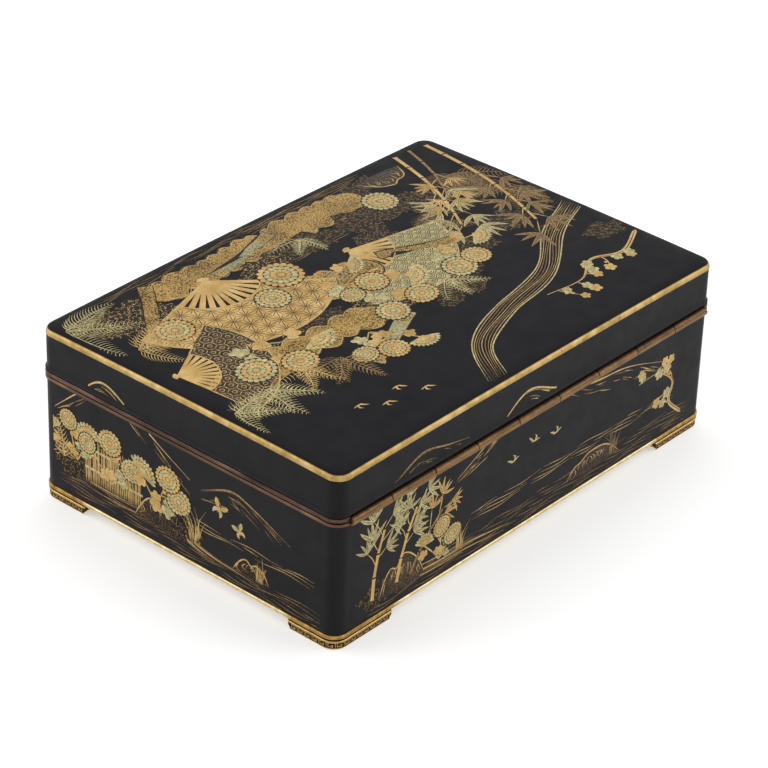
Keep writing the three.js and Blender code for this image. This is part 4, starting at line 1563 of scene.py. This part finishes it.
CAMERA = {"azimuth": 40.469, "elevation": 31.298, "roll": -2.030, "distance": 0.84707, "lens": 151.0048}
CAMERA_TARGET = Vector((0.0002, 0.00015, 0.02304))
SENSOR_WIDTH = 36
WORLD_LIGHT = 0.5
FLOOR_GLOW = 0.42
FLOOR_SIZE = 8
FLOOR_DROP = 0.00002  # below the feet, so that no faces coincide
LAMPS = (  # name, degrees from the camera's azimuth, elevation, distance, size and watts
    ("lamp_left", -92, 32, 1.1, 1.0, 5.0),
    ("lamp_right", 92, 32, 1.1, 1.0, 4.4),
    ("lamp_top", 180, 72, 1.0, 0.6, 1.5),
)


def towards(azimuth, elevation):
    """A direction from the part, given in degrees."""
    a, e = math.radians(azimuth), math.radians(elevation)
    return Vector((math.cos(e) * math.cos(a), math.cos(e) * math.sin(a), math.sin(e)))


def add_camera():
    back = towards(CAMERA["azimuth"], CAMERA["elevation"])
    right = (-back).cross(Vector((0, 0, 1))).normalized()
    down = (-back).cross(right)
    c, s = math.cos(math.radians(CAMERA["roll"])), math.sin(math.radians(CAMERA["roll"]))
    axis_x = right * c + down * s
    axis_y = right * s - down * c
    camera = bpy.data.objects.new("camera", bpy.data.cameras.new("camera"))
    camera.matrix_world = Matrix((
        (axis_x.x, axis_y.x, back.x, 0), (axis_x.y, axis_y.y, back.y, 0), (axis_x.z, axis_y.z, back.z, 0),
        (0, 0, 0, 1),
    ))
    camera.location = CAMERA_TARGET + back * CAMERA["distance"]
    camera.data.lens = CAMERA["lens"]
    camera.data.sensor_width = SENSOR_WIDTH
    bpy.context.scene.collection.objects.link(camera)
    bpy.context.scene.camera = camera


def seen_as_background(tree):
    """1 for rays from the camera, from gloss and through glass, and 0 for light itself."""
    path = add_node(tree, "ShaderNodeLightPath")
    total = path.outputs["Is Camera Ray"]
    for name in ("Is Glossy Ray", "Is Transmission Ray"):
        node = add_node(tree, "ShaderNodeMath", operation="MAXIMUM")
        tree.links.new(total, node.inputs[0])
        tree.links.new(path.outputs[name], node.inputs[1])
        total = node.outputs[0]
    return total


def add_stage():
    bpy.ops.mesh.primitive_plane_add(size=FLOOR_SIZE, location=(0, 0, -FLOOR_DROP))
    floor = bpy.context.object
    floor.name = "floor"
    material, tree, shader = new_material("pale_floor", 0)
    shader.inputs["Base Color"].default_value = colour("e8e8e8")
    shader.inputs["Roughness"].default_value = 0.6
    shader.inputs["Specular IOR Level"].default_value = 0.1
    shader.inputs["Emission Color"].default_value = (1, 1, 1, 1)
    glow = add_node(tree, "ShaderNodeMath", operation="MULTIPLY")
    glow.inputs[1].default_value = FLOOR_GLOW
    tree.links.new(seen_as_background(tree), glow.inputs[0])
    tree.links.new(glow.outputs[0], shader.inputs["Emission Strength"])
    floor.data.materials.append(material)

    world = bpy.data.worlds.new("studio")
    bpy.context.scene.world = world
    world.use_nodes = True
    tree = world.node_tree
    background = tree.nodes["Background"]
    background.inputs["Color"].default_value = (1, 1, 1, 1)
    strength = add_node(tree, "ShaderNodeMapRange")
    strength.inputs["To Min"].default_value = WORLD_LIGHT
    strength.inputs["To Max"].default_value = 1.0
    tree.links.new(seen_as_background(tree), strength.inputs["Value"])
    tree.links.new(strength.outputs["Result"], background.inputs["Strength"])


def add_lamp(name, turn, elevation, distance, size, watts):
    lamp = bpy.data.lights.new(name, "AREA")
    lamp.energy = watts
    lamp.shape = "DISK"
    lamp.size = size
    holder = bpy.data.objects.new(name, lamp)
    way = towards(CAMERA["azimuth"] + turn, elevation)
    holder.location = way * distance
    holder.rotation_mode = "QUATERNION"
    holder.rotation_quaternion = way.to_track_quat("Z", "Y")
    bpy.context.scene.collection.objects.link(holder)


add_camera()
add_stage()
for lamp_values in LAMPS:
    add_lamp(*lamp_values)
bpy.context.scene.view_settings.view_transform = "Standard"
